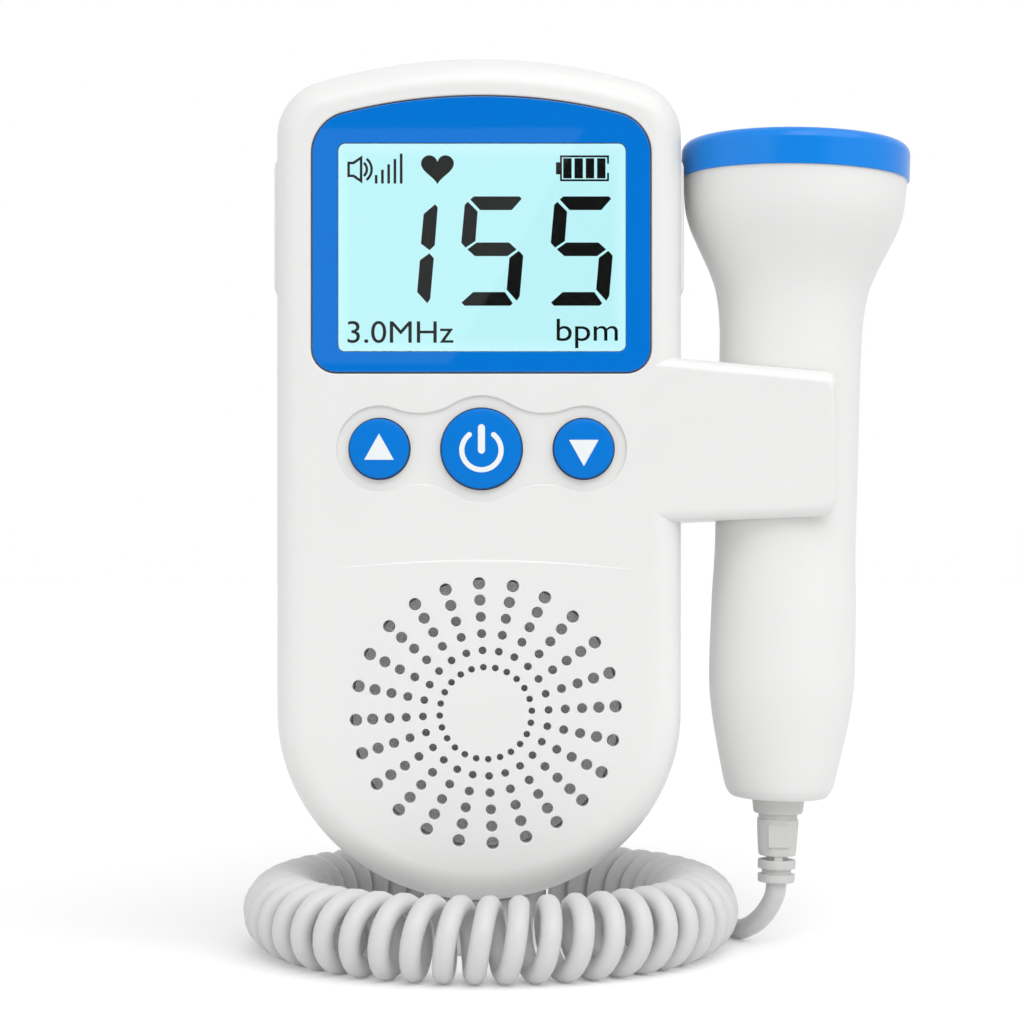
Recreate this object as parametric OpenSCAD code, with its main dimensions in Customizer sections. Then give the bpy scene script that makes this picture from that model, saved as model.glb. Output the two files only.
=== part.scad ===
// Hand-held heartbeat monitor: a main unit with display, keys and speaker, and an
// ultrasound probe that rests in a clip at its side, on a curly lead coiled round the foot.
// The front faces -Y, +Z is up, the floor is z = 0 and the unit is centred on x = 0.

/* [Main unit] */
// Width of the housing
unit_w = 63.8; // [62:0.2:70]
// Height of the housing from its rounded bottom to its crown
unit_h = 132.8; // [131:0.2:142]
// Thickness of the housing, front face to back face
unit_t = 29; // [28.6:0.1:33]
// Height of the rounded bottom above the floor
ride_h = 9.2; // [8.6:0.1:12]
// Wall thickness of both housings
wall = 2.2; // [1.8:0.1:2.4]
// Radius of the arched crown
crown_r = 90; // [80:1:140]
// Radius of the upper corners
corner_r = 9; // [8:0.5:12]
// Height of the elliptical bottom
bottom_h = 29.8; // [28:0.1:32]
// Rounding of the front and back edges
edge_r = 5; // [3:0.5:5.5]

/* [Lens and display] */
// Width of the blue lens panel
lens_w = 52.9; // [51:0.1:54]
// Height of the lens panel
lens_h = 43.2; // [42:0.1:44]
// Height of the lens panel's lower edge above the floor
lens_z = 92.2; // [92:0.1:93]
// Distance of the lens from the housing's centre line
lens_x = 0.4; // [0:0.1:0.8]
// Thickness of the lens panel
lens_t = 1.2; // [0.8:0.1:1.4]
// Width of the clear window
window_w = 44.9; // [42:0.1:46]
// Height of the clear window
window_h = 32.5; // [30:0.1:33]
// Distance of the window's lower edge from the lens panel's
window_up = 3.3; // [3:0.1:4]

/* [Keys] */
// Height of the row of keys above the floor
key_z = 80.3; // [80:0.1:81]
// Distance between the middle key and an outer one
key_pitch = 15.95; // [15.6:0.05:16.4]
// Diameter of the power key
power_d = 12.9; // [12:0.1:13.2]
// Diameter of the up and down keys
arrow_d = 9.7; // [9:0.1:10]
// Height of the keys above the front face
key_proud = 0.7; // [0.5:0.1:0.9]
// Travel of a key
key_travel = 0.6; // [0.4:0.1:0.8]

/* [Speaker] */
// Height of the speaker's centre above the floor
speaker_z = 39; // [38.5:0.1:40]
// Distance of the speaker from the housing's centre line
speaker_x = 1.1; // [0.5:0.1:1.3]
// Outer radius of the speaker
speaker_r = 20.9; // [20:0.1:21.2]
// Number of rows of holes that fan out from the centre
spokes = 24; // [18:1:24]
// Number of holes in each row
holes_in_row = 6; // [4:1:6]
// Radius of the inner ring of holes
grille_r = 7.2; // [6.5:0.1:7.4]
// Distance between rings of holes
grille_step = 2.62; // [2.4:0.01:2.64]
// Diameter of the innermost holes
hole_d = 1.05; // [0.8:0.05:1.1]
// Growth of the hole diameter from ring to ring
hole_growth = 0.18; // [0.1:0.01:0.19]

/* [Battery bay] */
// Diameter of a cell
cell_d = 14.5; // [14:0.1:14.6]
// Length of a cell with its nub
cell_l = 50.5; // [49:0.1:55]
// Height of the bay's lower end above the floor
bay_z = 30; // [29.5:0.1:31]
// Room for the contacts at both ends of a cell together
contact_room = 5.5; // [5:0.1:6]
// Thickness of the battery cover
cover_t = 1.8; // [1.5:0.1:2]

/* [Probe] */
// Gap between the housing and the probe's face ring
probe_gap = 0.7; // [0.7:0.1:2]
// Lean of the probe away from the unit, in degrees
probe_lean = 1.52; // [1.5:0.01:2]
// Radius of the grip where the clip holds it
neck_r = 11.35; // [11:0.05:11.4]
// Radius of the blue face ring
head_r = 18.4; // [17:0.1:20]
// Height of the blue face ring
ring_h = 5.9; // [5:0.1:6.5]
// Wall thickness of the probe
probe_wall = 1.8; // [1.5:0.1:2]

/* [Clip] */
// Reach of the arms' tips past the foot of the probe's axis
clip_reach = 8.3; // [7:0.1:9.5]
// Height of the clip's lower edge at the housing, above the floor
clip_z = 68.7; // [67:0.1:70]
// Height of the clip at the housing
clip_h = 26.3; // [24:0.1:26.5]
// Height of the clip at its tip
clip_tip_h = 22.7; // [20:0.1:23.5]

/* [Cord] */
// Diameter of the cord
cord_d = 3.3; // [2.8:0.1:3.3]
// Radius of the ring that the curly cord makes round the foot
ring_r = 33.3; // [33.3:0.1:35]
// Radius of a curl, to the cord's centre
curl_r = 5; // [4.6:0.1:5]
// Number of curls
curls = 43; // [30:1:43]

/* [Hidden] */
$fn = 72;

// Clearance of a piece that is fitted in another, and of one that moves
fit_gap = 0.15;
run_gap = 0.3;
// Extra length of a cut past the face that it leaves
over = 1;

front_y = -unit_t/2;
back_y = unit_t/2;
inner_front_y = front_y + wall;
inner_back_y = back_y - wall;
crown_z = ride_h + unit_h;
bottom_mid_z = ride_h + bottom_h;
bay_l = cell_l + contact_room;

// Ends of the probe's shell, and the foot of its strain relief
shell_z = 24;
shell_top_z = 124.3;
relief_z = 10.8;
// The probe's axis at the floor: its face ring clears the housing by the gap
probe_x = unit_w/2 + probe_gap + head_r - shell_top_z*sin(probe_lean);
clip_tip_x = probe_x + clip_reach;

// Right end to left end of an arched top: corner, crown, corner, drawn in by d
function arc(c, r, a0, a1, n) =
    [for (i = [0:n]) let (a = a0 + (a1 - a0)*i/n) [c[0] + r*cos(a), c[1] + r*sin(a)]];
function arched_top(half, top, crown, corner, d) =
    let (cx = half - corner,
         tilt = asin(cx/(crown - corner)),
         cz = top - crown + (crown - corner)*cos(tilt))
    concat(arc([cx, cz], corner - d, 0, 90 - tilt, 7),
           [for (i = [1:9]) let (a = 90 - tilt + 2*tilt*i/10)
               [(crown - d)*cos(a), top - crown + (crown - d)*sin(a)]],
           arc([-cx, cz], corner - d, 90 + tilt, 180, 7));
// Outline of the housing seen from the front, drawn in by d
function unit_outline(d) =
    concat(arched_top(unit_w/2, crown_z, crown_r, corner_r, d),
           [for (i = [0:32]) let (a = 180 + 180*i/32)
               [(unit_w/2 - d)*cos(a), bottom_mid_z + (bottom_h - d)*sin(a)]]);

// A 2D shape drawn in x and z, extruded from y0 to y1
module plate(y0, y1) translate([0, y1, 0]) rotate([90, 0, 0]) linear_extrude(y1 - y0) children();
// A round bar along Y
module bar_y(x, z, y0, y1, r) translate([x, y1, z]) rotate([90, 0, 0]) cylinder(h = y1 - y0, r = r);
// A round bar along X
module bar_x(y, z, x0, x1, r) translate([x0, y, z]) rotate([0, 90, 0]) cylinder(h = x1 - x0, r = r);
// A box between two corners
module block(low, high) translate(low) cube(high - low);
// A rectangle with round corners, its lower left corner at p
module rounded(p, w, h, r) {
    translate(p + [r, 0]) square([w - 2*r, h]);
    translate(p + [0, r]) square([w, h - 2*r]);
    for (x = [r, w - r], z = [r, h - r]) translate(p + [x, z]) circle(r);
}

// Faces between rings of n points each, as triangles, with both ends closed
function skin_faces(rings, n) =
    concat([[for (k = [0:n - 1]) k]],
           [for (i = [0:rings - 2], k = [0:n - 1]) each
               let (a = i*n + k, b = i*n + (k + 1)%n) [[a, a + n, b], [b, a + n, b + n]]],
           [[for (k = [n - 1:-1:0]) (rings - 1)*n + k]]);

// Solid half of the housing, lofted from its face (side = -1 front, 1 back) to the joint
module half_body(side) {
    face_y = side*unit_t/2;
    levels = concat([[0, 0]], [for (i = [5:-1:0]) let (a = 18*i)
        [face_y - side*edge_r*(1 - cos(a)), edge_r*(1 - cos(90 - a))]]);
    rings = [for (l = side < 0 ? levels : [for (i = [len(levels) - 1:-1:0]) levels[i]])
        [for (p = unit_outline(l[1])) [p[0], l[0], p[1]]]];
    n = len(rings[0]);
    polyhedron([for (ring = rings) each ring], skin_faces(len(rings), n));
}

// Screw columns: x and z of the right ones, drawn in from the housing's corners
screw_high = [unit_w/2 - 5, crown_z - 15];
screw_low = [unit_w/2 - 12.4, ride_h + 12.3];
screw_places = [for (s = [screw_high, screw_low], side = [-1, 1]) [side*s[0], s[1]]];
column_r = 2.6;
screw_r = 1;
screw_head_r = 1.9;
screw_head_t = 1.4;
screw_seat_y = back_y - 6;
screw_tip_y = -5;

jack_z = 112;
jack_r = 1.8;
jack_nose_r = 3;
jack_deep = 14;
jack_proud = 0.3;
// Body of the socket behind the wall: length, height, thickness
jack_box = [12.4, 8, 8.2];

board_y = front_y + 8.5;
board_t = 1.6;
board_half_w = unit_w/2 - 7.9;
board_z = 62;
board_top_z = crown_z - 8;

lens_pocket_y = front_y + lens_t;
window_z = lens_z + window_up;
window_x = lens_x + 0.1 - window_w/2;
window_corner_r = 1.1;
window_ledge = 0.4;
lens_crown_r = 88;
lens_upper_r = 6.5;
lens_lower_r = 3.8;
function lens_outline(d) =
    [for (p = concat(arched_top(lens_w/2, lens_z + lens_h, lens_crown_r, lens_upper_r, d),
                     arc([lens_lower_r - lens_w/2, lens_z + lens_lower_r], lens_lower_r - d, 180, 270, 6),
                     arc([lens_w/2 - lens_lower_r, lens_z + lens_lower_r], lens_lower_r - d, 270, 360, 6)))
        [p[0] + lens_x, p[1]]];

key_x = 0.44;
key_recess = 0.4;
key_margin = 1.8;
key_waist_r = 10.5;
key_flange_t = 0.8;
key_flange = 1.1;
key_stem_r = 2;
key_stem_l = 1;
function key_places() = [[key_x - key_pitch, arrow_d/2], [key_x, power_d/2], [key_x + key_pitch, arrow_d/2]];

// Shallow peanut-shaped recess round the three keys: hollow arcs join its round lobes
module key_recess_outline() offset(r = -key_waist_r) offset(r = key_waist_r)
    for (k = key_places()) translate([k[0], key_z]) circle(k[1] + key_margin);

// Speaker perforations: rows of holes that grow outwards
grille_turn = 3;
module grille_holes() {
    for (s = [0:spokes - 1], i = [0:holes_in_row - 1])
        let (a = 360*s/spokes + grille_turn, r = grille_r + grille_step*i)
            bar_y(speaker_x + r*cos(a), speaker_z + r*sin(a), front_y - over, inner_front_y + over,
                  (hole_d + hole_growth*i)/2);
}

grip_z = 104.9;
grip_h = 21.3;
grip_y = [-9.5, -4];
grip_deep = 0.8;
grip_proud = 0.9;
grip_slope = [1.4, 3.2];
module grip_profile() {
    x = unit_w/2;
    top = grip_z + grip_h;
    polygon([[x - grip_deep, grip_z], [x, grip_z], [x + grip_proud*0.7, grip_z + grip_slope[0]],
             [x + grip_proud, grip_z + grip_slope[1]], [x + grip_proud, top - grip_slope[1]],
             [x + grip_proud*0.7, top - grip_slope[0]], [x, top], [x - grip_deep, top]]);
}

gland_r = 6;
gland_z = bottom_mid_z - (bottom_h - wall);
gland_cut_h = wall + 4;

// Collar that holds the speaker behind its perforations
collar_t = 1;
collar_h = 3.2;

module front_housing() color("whitesmoke") difference() {
    union() {
        difference() {
            half_body(-1);
            plate(inner_front_y, over) polygon(unit_outline(wall));
        }
        for (s = screw_places) bar_y(s[0], s[1], front_y + wall/2, 0, column_r);
        difference() {
            bar_y(speaker_x, speaker_z, front_y + wall/2, inner_front_y + collar_h,
                  speaker_r + fit_gap + collar_t);
            bar_y(speaker_x, speaker_z, front_y, inner_front_y + collar_h + over, speaker_r + fit_gap);
        }
    }
    for (s = screw_places) bar_y(s[0], s[1], inner_front_y + 0.5, over, screw_r - 0.1);
    plate(front_y - over, lens_pocket_y) polygon(lens_outline(-fit_gap));
    plate(front_y, inner_front_y + over)
        rounded([window_x - window_ledge, window_z - window_ledge], window_w + 2*window_ledge,
                window_h + 2*window_ledge, window_corner_r + window_ledge);
    plate(front_y - over, front_y + key_recess) key_recess_outline();
    for (k = key_places()) bar_y(k[0], key_z, front_y, inner_front_y + over, k[1] + run_gap);
    grille_holes();
    for (m = [0, 1]) mirror([m, 0, 0]) plate(grip_y[0] - fit_gap, grip_y[1] + fit_gap)
        translate([unit_w/2 - grip_deep, grip_z - fit_gap]) square([grip_deep + over, grip_h + 2*fit_gap]);
    translate([0, 0, ride_h - over]) cylinder(h = gland_cut_h, r = gland_r + fit_gap);
    bar_x(0, jack_z, -unit_w/2 - over, -unit_w/2 + wall + over, jack_nose_r + fit_gap);
}

tray_y = board_y + board_t + 0.5;
tray_t = 1;
tray_wall = 1.4;
bay_half_w = cell_d + 1.7;
cell_x = bay_half_w/2 - 0.5;
cell_y = tray_y + tray_t + run_gap + cell_d/2;
ledge_y = back_y - cover_t - run_gap;
cover_half_w = 19;
cover_z = bay_z - 2 + run_gap;
cover_top_z = bay_z + bay_l + 4;
latch_r = 6;
latch_deep = 1;
pin_l = 1.1;
hinge_y = back_y - cover_t/2;
hinge_z = cover_z + cover_t/2;
hinge_pin_r = 0.55;
frame_edge = 1.9;
frame_t = 1.6;

module rear_housing() color("whitesmoke") difference() {
    union() {
        difference() {
            half_body(1);
            plate(-over, inner_back_y) polygon(unit_outline(wall));
        }
        for (s = screw_places) bar_y(s[0], s[1], 0, back_y - wall/2, column_r);
        block([-bay_half_w - tray_wall, tray_y, bay_z - tray_wall],
              [bay_half_w + tray_wall, back_y - wall/2, bay_z + bay_l + tray_wall]);
        block([-cover_half_w - frame_edge, ledge_y - frame_t, cover_z - frame_edge],
              [cover_half_w + frame_edge, back_y - wall/2, cover_top_z + frame_edge]);
    }
    for (s = screw_places) {
        bar_y(s[0], s[1], -over, back_y + over, screw_r + fit_gap);
        bar_y(s[0], s[1], screw_seat_y, back_y + over, screw_head_r + fit_gap);
    }
    block([-bay_half_w, tray_y + tray_t, bay_z], [bay_half_w, back_y + over, bay_z + bay_l]);
    block([-cover_half_w - run_gap, ledge_y, cover_z - run_gap],
          [cover_half_w + run_gap, back_y + over, cover_top_z + run_gap]);
    bar_y(0, cover_top_z + latch_deep, back_y - latch_deep, back_y + over, latch_r);
    bar_x(hinge_y, hinge_z, -cover_half_w - pin_l - run_gap, cover_half_w + pin_l + run_gap,
          hinge_pin_r + fit_gap);
    translate([0, 0, ride_h - over]) cylinder(h = gland_cut_h, r = gland_r + fit_gap);
    bar_x(0, jack_z, -unit_w/2 - over, -unit_w/2 + wall + over, jack_nose_r + fit_gap);
}

// The probe's own frame: its axis leans away from the unit
module on_probe() translate([probe_x, 0, 0]) rotate([0, probe_lean, 0]) children();

// Housing section that the clip is moulded against
module unit_section() translate([0, front_y]) rounded([-unit_w/2, 0], unit_w, unit_t, edge_r);

module probe_clip() color("whitesmoke") difference() {
    intersection() {
        translate([0, 0, clip_z - over]) linear_extrude(clip_h + 2*over) difference() {
            rounded([0, front_y], clip_tip_x, unit_t, clip_edge_r);
            unit_section();
        }
        clip_sides();
    }
    on_probe() linear_extrude(2*(clip_z + clip_h)) {
        circle(neck_r + run_gap);
        translate([0, -neck_r - run_gap]) square([clip_tip_x, 2*(neck_r + run_gap)]);
    }
}
// Front view of the arms, its upper and lower edges drawn in by d. Most of the narrowing is at the top.
clip_edge_r = 1;
clip_round_r = 2;
clip_tip_r = 2;
clip_root_x = unit_w/2 - 3.7;
function clip_outline(d) =
    let (drop = (clip_h - clip_tip_h)*0.7, rise = (clip_h - clip_tip_h)*0.3, x = clip_tip_x - clip_tip_r)
    concat([[clip_root_x, clip_z + clip_h - d], [clip_root_x, clip_z + d]],
           arc([x, clip_z + rise + clip_tip_r + d], clip_tip_r, 270, 360, 6),
           arc([x, clip_z + clip_h - drop - clip_tip_r - d], clip_tip_r, 0, 90, 6));
// Solid of that view from the back to the front, with rounded upper and lower edges
module clip_sides() {
    edge = [for (a = [90:-18:0]) clip_round_r*[1 - sin(a), 1 - cos(a)]];
    levels = concat([for (e = edge) [back_y - e[0], e[1]]],
                    [for (i = [len(edge) - 1:-1:0]) [front_y + edge[i][0], edge[i][1]]]);
    rings = [for (l = levels) [for (p = clip_outline(l[1])) [p[0], l[0], p[1]]]];
    polyhedron([for (ring = rings) each ring], skin_faces(len(rings), len(rings[0])));
}

module side_grip() plate(grip_y[0], grip_y[1]) grip_profile();
module side_grip_right() color("white") side_grip();
module side_grip_left() color("white") mirror([1, 0, 0]) side_grip();

module lens_panel() color("dodgerblue") plate(front_y, lens_pocket_y) difference() {
    polygon(lens_outline(0));
    rounded([window_x, window_z], window_w, window_h, window_corner_r);
}
window_sink = 0.1;
window_fit = 0.05;
module display_window() color("lightcyan") plate(front_y + window_sink, lens_pocket_y)
    rounded([window_x + window_fit, window_z + window_fit], window_w - 2*window_fit,
            window_h - 2*window_fit, window_corner_r);

display_margin = [1.1, 1.7];
glass_t = 2.2;
module display_stack(y0, y1) plate(y0, y1)
    translate([window_x - display_margin[0], window_z - display_margin[1]])
        square([window_w + 2*display_margin[0], window_h + 2*display_margin[1]]);
module display_glass() color("paleturquoise") display_stack(inner_front_y, inner_front_y + glass_t);
module display_backlight() color("white") display_stack(inner_front_y + glass_t, board_y);

module main_board() color("darkgreen") plate(board_y, board_y + board_t)
    translate([-board_half_w, board_z]) square([2*board_half_w, board_top_z - board_z]);

// Rubber keypad on the board: a sheet with a dome behind each key
keypad_t = 1;
keypad_edge = 7;
keypad_h = 18;
dome_r = 3.2;
dome_y = inner_front_y + run_gap + key_flange_t + key_stem_l + key_travel + run_gap;
module keypad_membrane() color("dimgray") {
    plate(board_y - keypad_t, board_y) translate([key_x - key_pitch - keypad_edge, key_z - keypad_h/2])
        square([2*(key_pitch + keypad_edge), keypad_h]);
    for (k = key_places()) bar_y(k[0], key_z, dome_y, board_y - keypad_t, dome_r);
}

// A key: domed cap, flange behind the housing and a short stem
module key(x, r) translate([x, 0, key_z]) rotate([90, 0, 0]) rotate_extrude() {
    back = -(inner_front_y + run_gap + key_flange_t);
    top = -front_y + key_proud;
    polygon([[0, back - key_stem_l], [key_stem_r, back - key_stem_l], [key_stem_r, back],
             [r + key_flange, back], [r + key_flange, back + key_flange_t],
             [r, back + key_flange_t], [r, top - 0.45], [r - 0.12, top - 0.2], [r - 0.4, top - 0.06],
             [r - 0.9, top], [r*0.5, top + 0.18], [0, top + 0.25]]);
}
module up_button() color("dodgerblue") key(key_places()[0][0], key_places()[0][1]);
module power_button() color("dodgerblue") key(key_places()[1][0], key_places()[1][1]);
module down_button() color("dodgerblue") key(key_places()[2][0], key_places()[2][1]);

// Speaker, from the mesh behind the perforations to the magnet's back
mesh_t = 0.3;
speaker_y = inner_front_y + mesh_t;
magnet_r = 10;
basket_deep = 4.2;
basket_rim = 2.4;
basket_foot = 2;
rim_w = 3;
cone_deep = 2.4;
cone_edge = 3.1;
cone_roll = [4.4, 4.6];
coil_r = 8;
cap_r = 6;
magnet_y = speaker_y + basket_deep;
module speaker_revolve() translate([speaker_x, 0, speaker_z]) rotate([-90, 0, 0]) rotate_extrude() children();
module speaker_mesh() color("dimgray") bar_y(speaker_x, speaker_z, inner_front_y, speaker_y, speaker_r);
module speaker_basket() color("silver") speaker_revolve()
    polygon([[speaker_r, speaker_y], [speaker_r, speaker_y + 1.2], [speaker_r - basket_rim, speaker_y + 1.2],
             [magnet_r + basket_foot, magnet_y], [magnet_r - basket_foot, magnet_y],
             [magnet_r - basket_foot, magnet_y - 0.8], [magnet_r + 0.8*basket_foot, magnet_y - 0.8],
             [speaker_r - rim_w, speaker_y + 0.7], [speaker_r - rim_w, speaker_y]]);
module speaker_cone() color("black") speaker_revolve()
    polygon([[speaker_r - cone_edge, speaker_y + 0.1], [speaker_r - cone_edge, speaker_y + 0.4],
             [speaker_r - cone_roll[0], speaker_y + 0.8], [coil_r, speaker_y + cone_deep],
             [cap_r, speaker_y + 1.4], [0, speaker_y + 0.9], [0, speaker_y + 0.6],
             [cap_r, speaker_y + 1], [coil_r, speaker_y + cone_deep - 0.4],
             [speaker_r - cone_roll[1], speaker_y + 0.4], [speaker_r - cone_roll[1], speaker_y + 0.1]]);
module speaker_magnet() color("dimgray") speaker_revolve()
    translate([0, magnet_y]) square([magnet_r, tray_y - 0.4 - magnet_y]);

module earphone_socket() color("gray") difference() {
    union() {
        bar_x(0, jack_z, -unit_w/2 - jack_proud, -unit_w/2 + wall, jack_nose_r);
        translate([-unit_w/2 + wall, board_y + board_t, jack_z - jack_box[1]/2])
            cube([jack_box[0], jack_box[2], jack_box[1]]);
    }
    bar_x(0, jack_z, -unit_w/2 - over, -unit_w/2 - jack_proud + jack_deep, jack_r);
}

nub_h = 1;
nub_r = 2.75;
module battery_cell(x, up) translate([x, cell_y, bay_z + bay_l/2]) mirror([0, 0, up ? 0 : 1]) {
    translate([0, 0, -cell_l/2]) cylinder(h = cell_l - nub_h, r = cell_d/2);
    translate([0, 0, cell_l/2 - nub_h]) cylinder(h = nub_h, r = nub_r);
}
module battery_cell_left() color("goldenrod") battery_cell(-cell_x, true);
module battery_cell_right() color("goldenrod") battery_cell(cell_x, false);

// Spring and plate contacts: one of each at both ends of the bay
contact_l = contact_room/2 - 0.2;
contact_r = 4;
plate_t = 0.6;
module contact_spring() cylinder(h = contact_l, r1 = contact_r, r2 = contact_r - 1.4);
module contact_plate() {
    translate([-contact_r, -contact_r, 0]) cube([2*contact_r, 2*contact_r, plate_t]);
    cylinder(h = contact_l, r = contact_r/2);
}
module battery_contacts() color("silver") for (x = [-cell_x, cell_x]) {
    translate([x, cell_y, bay_z]) if (x < 0) contact_spring(); else contact_plate();
    translate([x, cell_y, bay_z + bay_l]) mirror([0, 0, 1]) if (x < 0) contact_plate(); else contact_spring();
}

// Battery cover: swings on two pins in its round lower edge, with thumb grooves at its upper end
grooves = 4;
groove_l = 18;
groove_w = 1;
groove_step = 2.4;
groove_deep = 0.5;
grooves_down = 12;
module battery_cover() color("whitesmoke") difference() {
    union() {
        block([-cover_half_w, back_y - cover_t, hinge_z], [cover_half_w, back_y, cover_top_z]);
        bar_x(hinge_y, hinge_z, -cover_half_w, cover_half_w, cover_t/2);
        bar_x(hinge_y, hinge_z, -cover_half_w - pin_l, cover_half_w + pin_l, hinge_pin_r);
    }
    for (i = [0:grooves - 1]) let (z = cover_top_z - grooves_down + groove_step*i)
        block([-groove_l/2, back_y - groove_deep, z], [groove_l/2, back_y + over, z + groove_w]);
}

module housing_screws() color("silver") for (s = screw_places) {
    bar_y(s[0], s[1], screw_tip_y, screw_seat_y, screw_r - fit_gap);
    difference() {
        bar_y(s[0], s[1], screw_seat_y, screw_seat_y + screw_head_t, screw_head_r);
        for (a = [0, 90]) translate([s[0], screw_seat_y + screw_head_t - 0.4, s[1]]) rotate([0, a, 0])
            cube([1.26*screw_head_r, 1, 0.5], center = true);
    }
}

// Cord: the ring of curls lies on the floor round the foot, its gap behind the unit
ring_x = 1.8;
gap_a = 14;
curl_z = cord_d/2 + curl_r;
function on_ring(a, r, z) = [ring_x + r*cos(a), r*sin(a), z];
coil_path = concat(
    [on_ring(90 + gap_a, ring_r - cord_d, cord_d/2)],
    [for (i = [0:8*curls]) let (a = 90 + gap_a + (360 - 2*gap_a)*i/(8*curls), b = 45*i - 90)
        on_ring(a, ring_r + curl_r*cos(b), curl_z + curl_r*sin(b))],
    [on_ring(90 - gap_a, ring_r + cord_d, cord_d/2)]);
// Tail from the boot: distance from the ring's centre and height
sleeve_l = 19.4;
sleeve_z = 3;
tail_points = [[sleeve_l, sleeve_z], [21.5, 3], [23.6, 2.6], [25.7, 2.05], [27.8, 1.7],
               [ring_r - cord_d, cord_d/2]];
tail_path = [for (p = tail_points) on_ring(90 + gap_a, p[0], p[1])];
// Lead from the ring to the probe: angle and distance round the ring's centre, then x, y, z
lead_turn = [[90 - gap_a, ring_r + cord_d], [75.6, 38.2], [74.4, 40.6], [71.6, 42.8], [67, 44.2], [61, 44.6],
             [54, 44.2], [47, 43.6], [40, 43], [33, 42.5], [26, 42.1], [19, 41.8]];
lead_rise = [[42.5, 9.6, 1.65], [43.3, 6.9, 2.1], [44.6, 4.7, 3.1], [45.9, 2.9, 4.6], [47, 1.4, 6.5],
             [47.75, 0.4, 8.4]];
function probe_axis(z) = [probe_x + z*sin(probe_lean), 0, z*cos(probe_lean)];
lead_path = concat([for (p = lead_turn) on_ring(p[0], p[1], cord_d/2)], lead_rise,
                   [probe_axis(relief_z - 1), probe_axis(relief_z)]);

function unit_vector(v) = v/norm(v);
function path_tangents(p) =
    [for (i = [0:len(p) - 1]) unit_vector(p[min(i + 1, len(p) - 1)] - p[max(i - 1, 0)])];
function across(v, t) = unit_vector(v - (v*t)*t);
function path_normals(t) = [for (i = 0, n = across([0.1, 0.2, 1], t[0]); i < len(t);
    i = i + 1, n = i < len(t) ? across(n, t[i]) : n) n];
// A closed tube along a path
module tube(path, d, sides) {
    t = path_tangents(path);
    n = path_normals(t);
    polyhedron([for (i = [0:len(path) - 1], k = [0:sides - 1]) let (a = 360*k/sides)
                   path[i] + d/2*(cos(a)*n[i] + sin(a)*cross(t[i], n[i]))],
               skin_faces(len(path), sides));
}
module cord_coil() color("gainsboro") tube(coil_path, cord_d, 6);
module cord_tail() color("gainsboro") tube(tail_path, cord_d, 8);
module cord_lead() color("gainsboro") tube(lead_path, cord_d, 8);
function path_length(p) = [for (i = 0, s = 0; i < len(p); i = i + 1,
    s = i < len(p) ? s + norm(p[i] - p[i - 1]) : s) s][len(p) - 1];
coil_gap = min([for (i = [0:len(coil_path) - 13], j = [5:12])
    norm(coil_path[i + j] - coil_path[i])]) - cord_d;
echo(coil_gap = coil_gap, coil_length = path_length(coil_path), lead_length = path_length(lead_path),
     tail_length = path_length(tail_path));

// Cable boot: gland in the housing, foot on the floor and a ribbed sleeve towards the ring
foot_gap = 0.3;
sleeve_r = 2.9;
boot_r = 8.6;
boot_top_z = ride_h - foot_gap;
flange_z = [gland_z + 1.2, gland_z + 2.6];
flange_r = gland_r + 1.5;
module cable_boot() color("gainsboro") {
    rotate_extrude() polygon([[0, 0], [boot_r - 0.6, 0], [boot_r, 0.6], [boot_r, boot_top_z - 2],
                              [boot_r - 1, boot_top_z], [gland_r, boot_top_z], [gland_r, flange_z[0]],
                              [flange_r, flange_z[0]], [flange_r, flange_z[1]], [0, flange_z[1]]]);
    translate([ring_x, 0, sleeve_z]) rotate([0, 0, 90 + gap_a]) rotate([0, 90, 0]) rotate_extrude()
        polygon([[0, 2], [sleeve_r, 2], [sleeve_r, 12.4], [2.3, 12.6], [2.3, 13.4], [sleeve_r - 0.1, 13.6],
                 [sleeve_r - 0.2, 15], [2.3, 15.2], [2.3, 16], [sleeve_r - 0.3, 16.2], [sleeve_r - 0.5, 17.6],
                 [2.2, 17.8], [2.2, sleeve_l], [0, sleeve_l]]);
}

// Outline of the probe from its foot to the face ring: radius and height
bell_r = head_r - 0.4;
// Handle below the neck: growth over the neck's radius, and height above the shell's foot
handle = [[-2.95, 0.8], [-2.2, 4], [-1.15, 8.9], [-0.25, 13.7], [0.32, 18.6], [0.4, 24], [0.25, 33.2],
          [0, 40], [0, 51]];
// Bell above the neck: share of the widening, and distance below the shell's top
bell = [[0, 36.3], [0.007, 28.3], [0.03, 23.3], [0.12, 18.7], [0.295, 15.2], [0.583, 11.2], [0.813, 7.9],
        [0.942, 4.7], [1, 0]];
shell_keys = concat([for (k = handle) [neck_r + k[0], shell_z + k[1]]],
                    [for (k = bell) [neck_r + (bell_r - neck_r)*k[0], shell_top_z - k[1]]]);
// Smooth curve through key points, in steps pieces from each to the next
function smooth(k, steps) =
    concat([for (i = [0:len(k) - 2], j = [0:steps - 1])
               let (a = k[max(i - 1, 0)], b = k[i], c = k[i + 1], d = k[min(i + 2, len(k) - 1)], t = j/steps)
               (2*b + (c - a)*t + (2*a - 5*b + 4*c - d)*t*t + (3*b - a - 3*c + d)*t*t*t)/2],
           [k[len(k) - 1]]);
shell_curve = smooth(shell_keys, 3);
relief_hole_r = 4;
foot_r = shell_curve[0][0];
module probe_shell() color("whitesmoke") on_probe() rotate_extrude()
    polygon(concat([[relief_hole_r + fit_gap, shell_z], [foot_r - 1.2, shell_z],
                    [foot_r - 0.4, shell_z + 0.3]], shell_curve,
                   [for (i = [len(shell_curve) - 1:-1:2]) shell_curve[i] - [probe_wall, 0]],
                   [[shell_curve[2][0] - probe_wall, shell_z + 2], [relief_hole_r + fit_gap, shell_z + 2]]));

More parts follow.
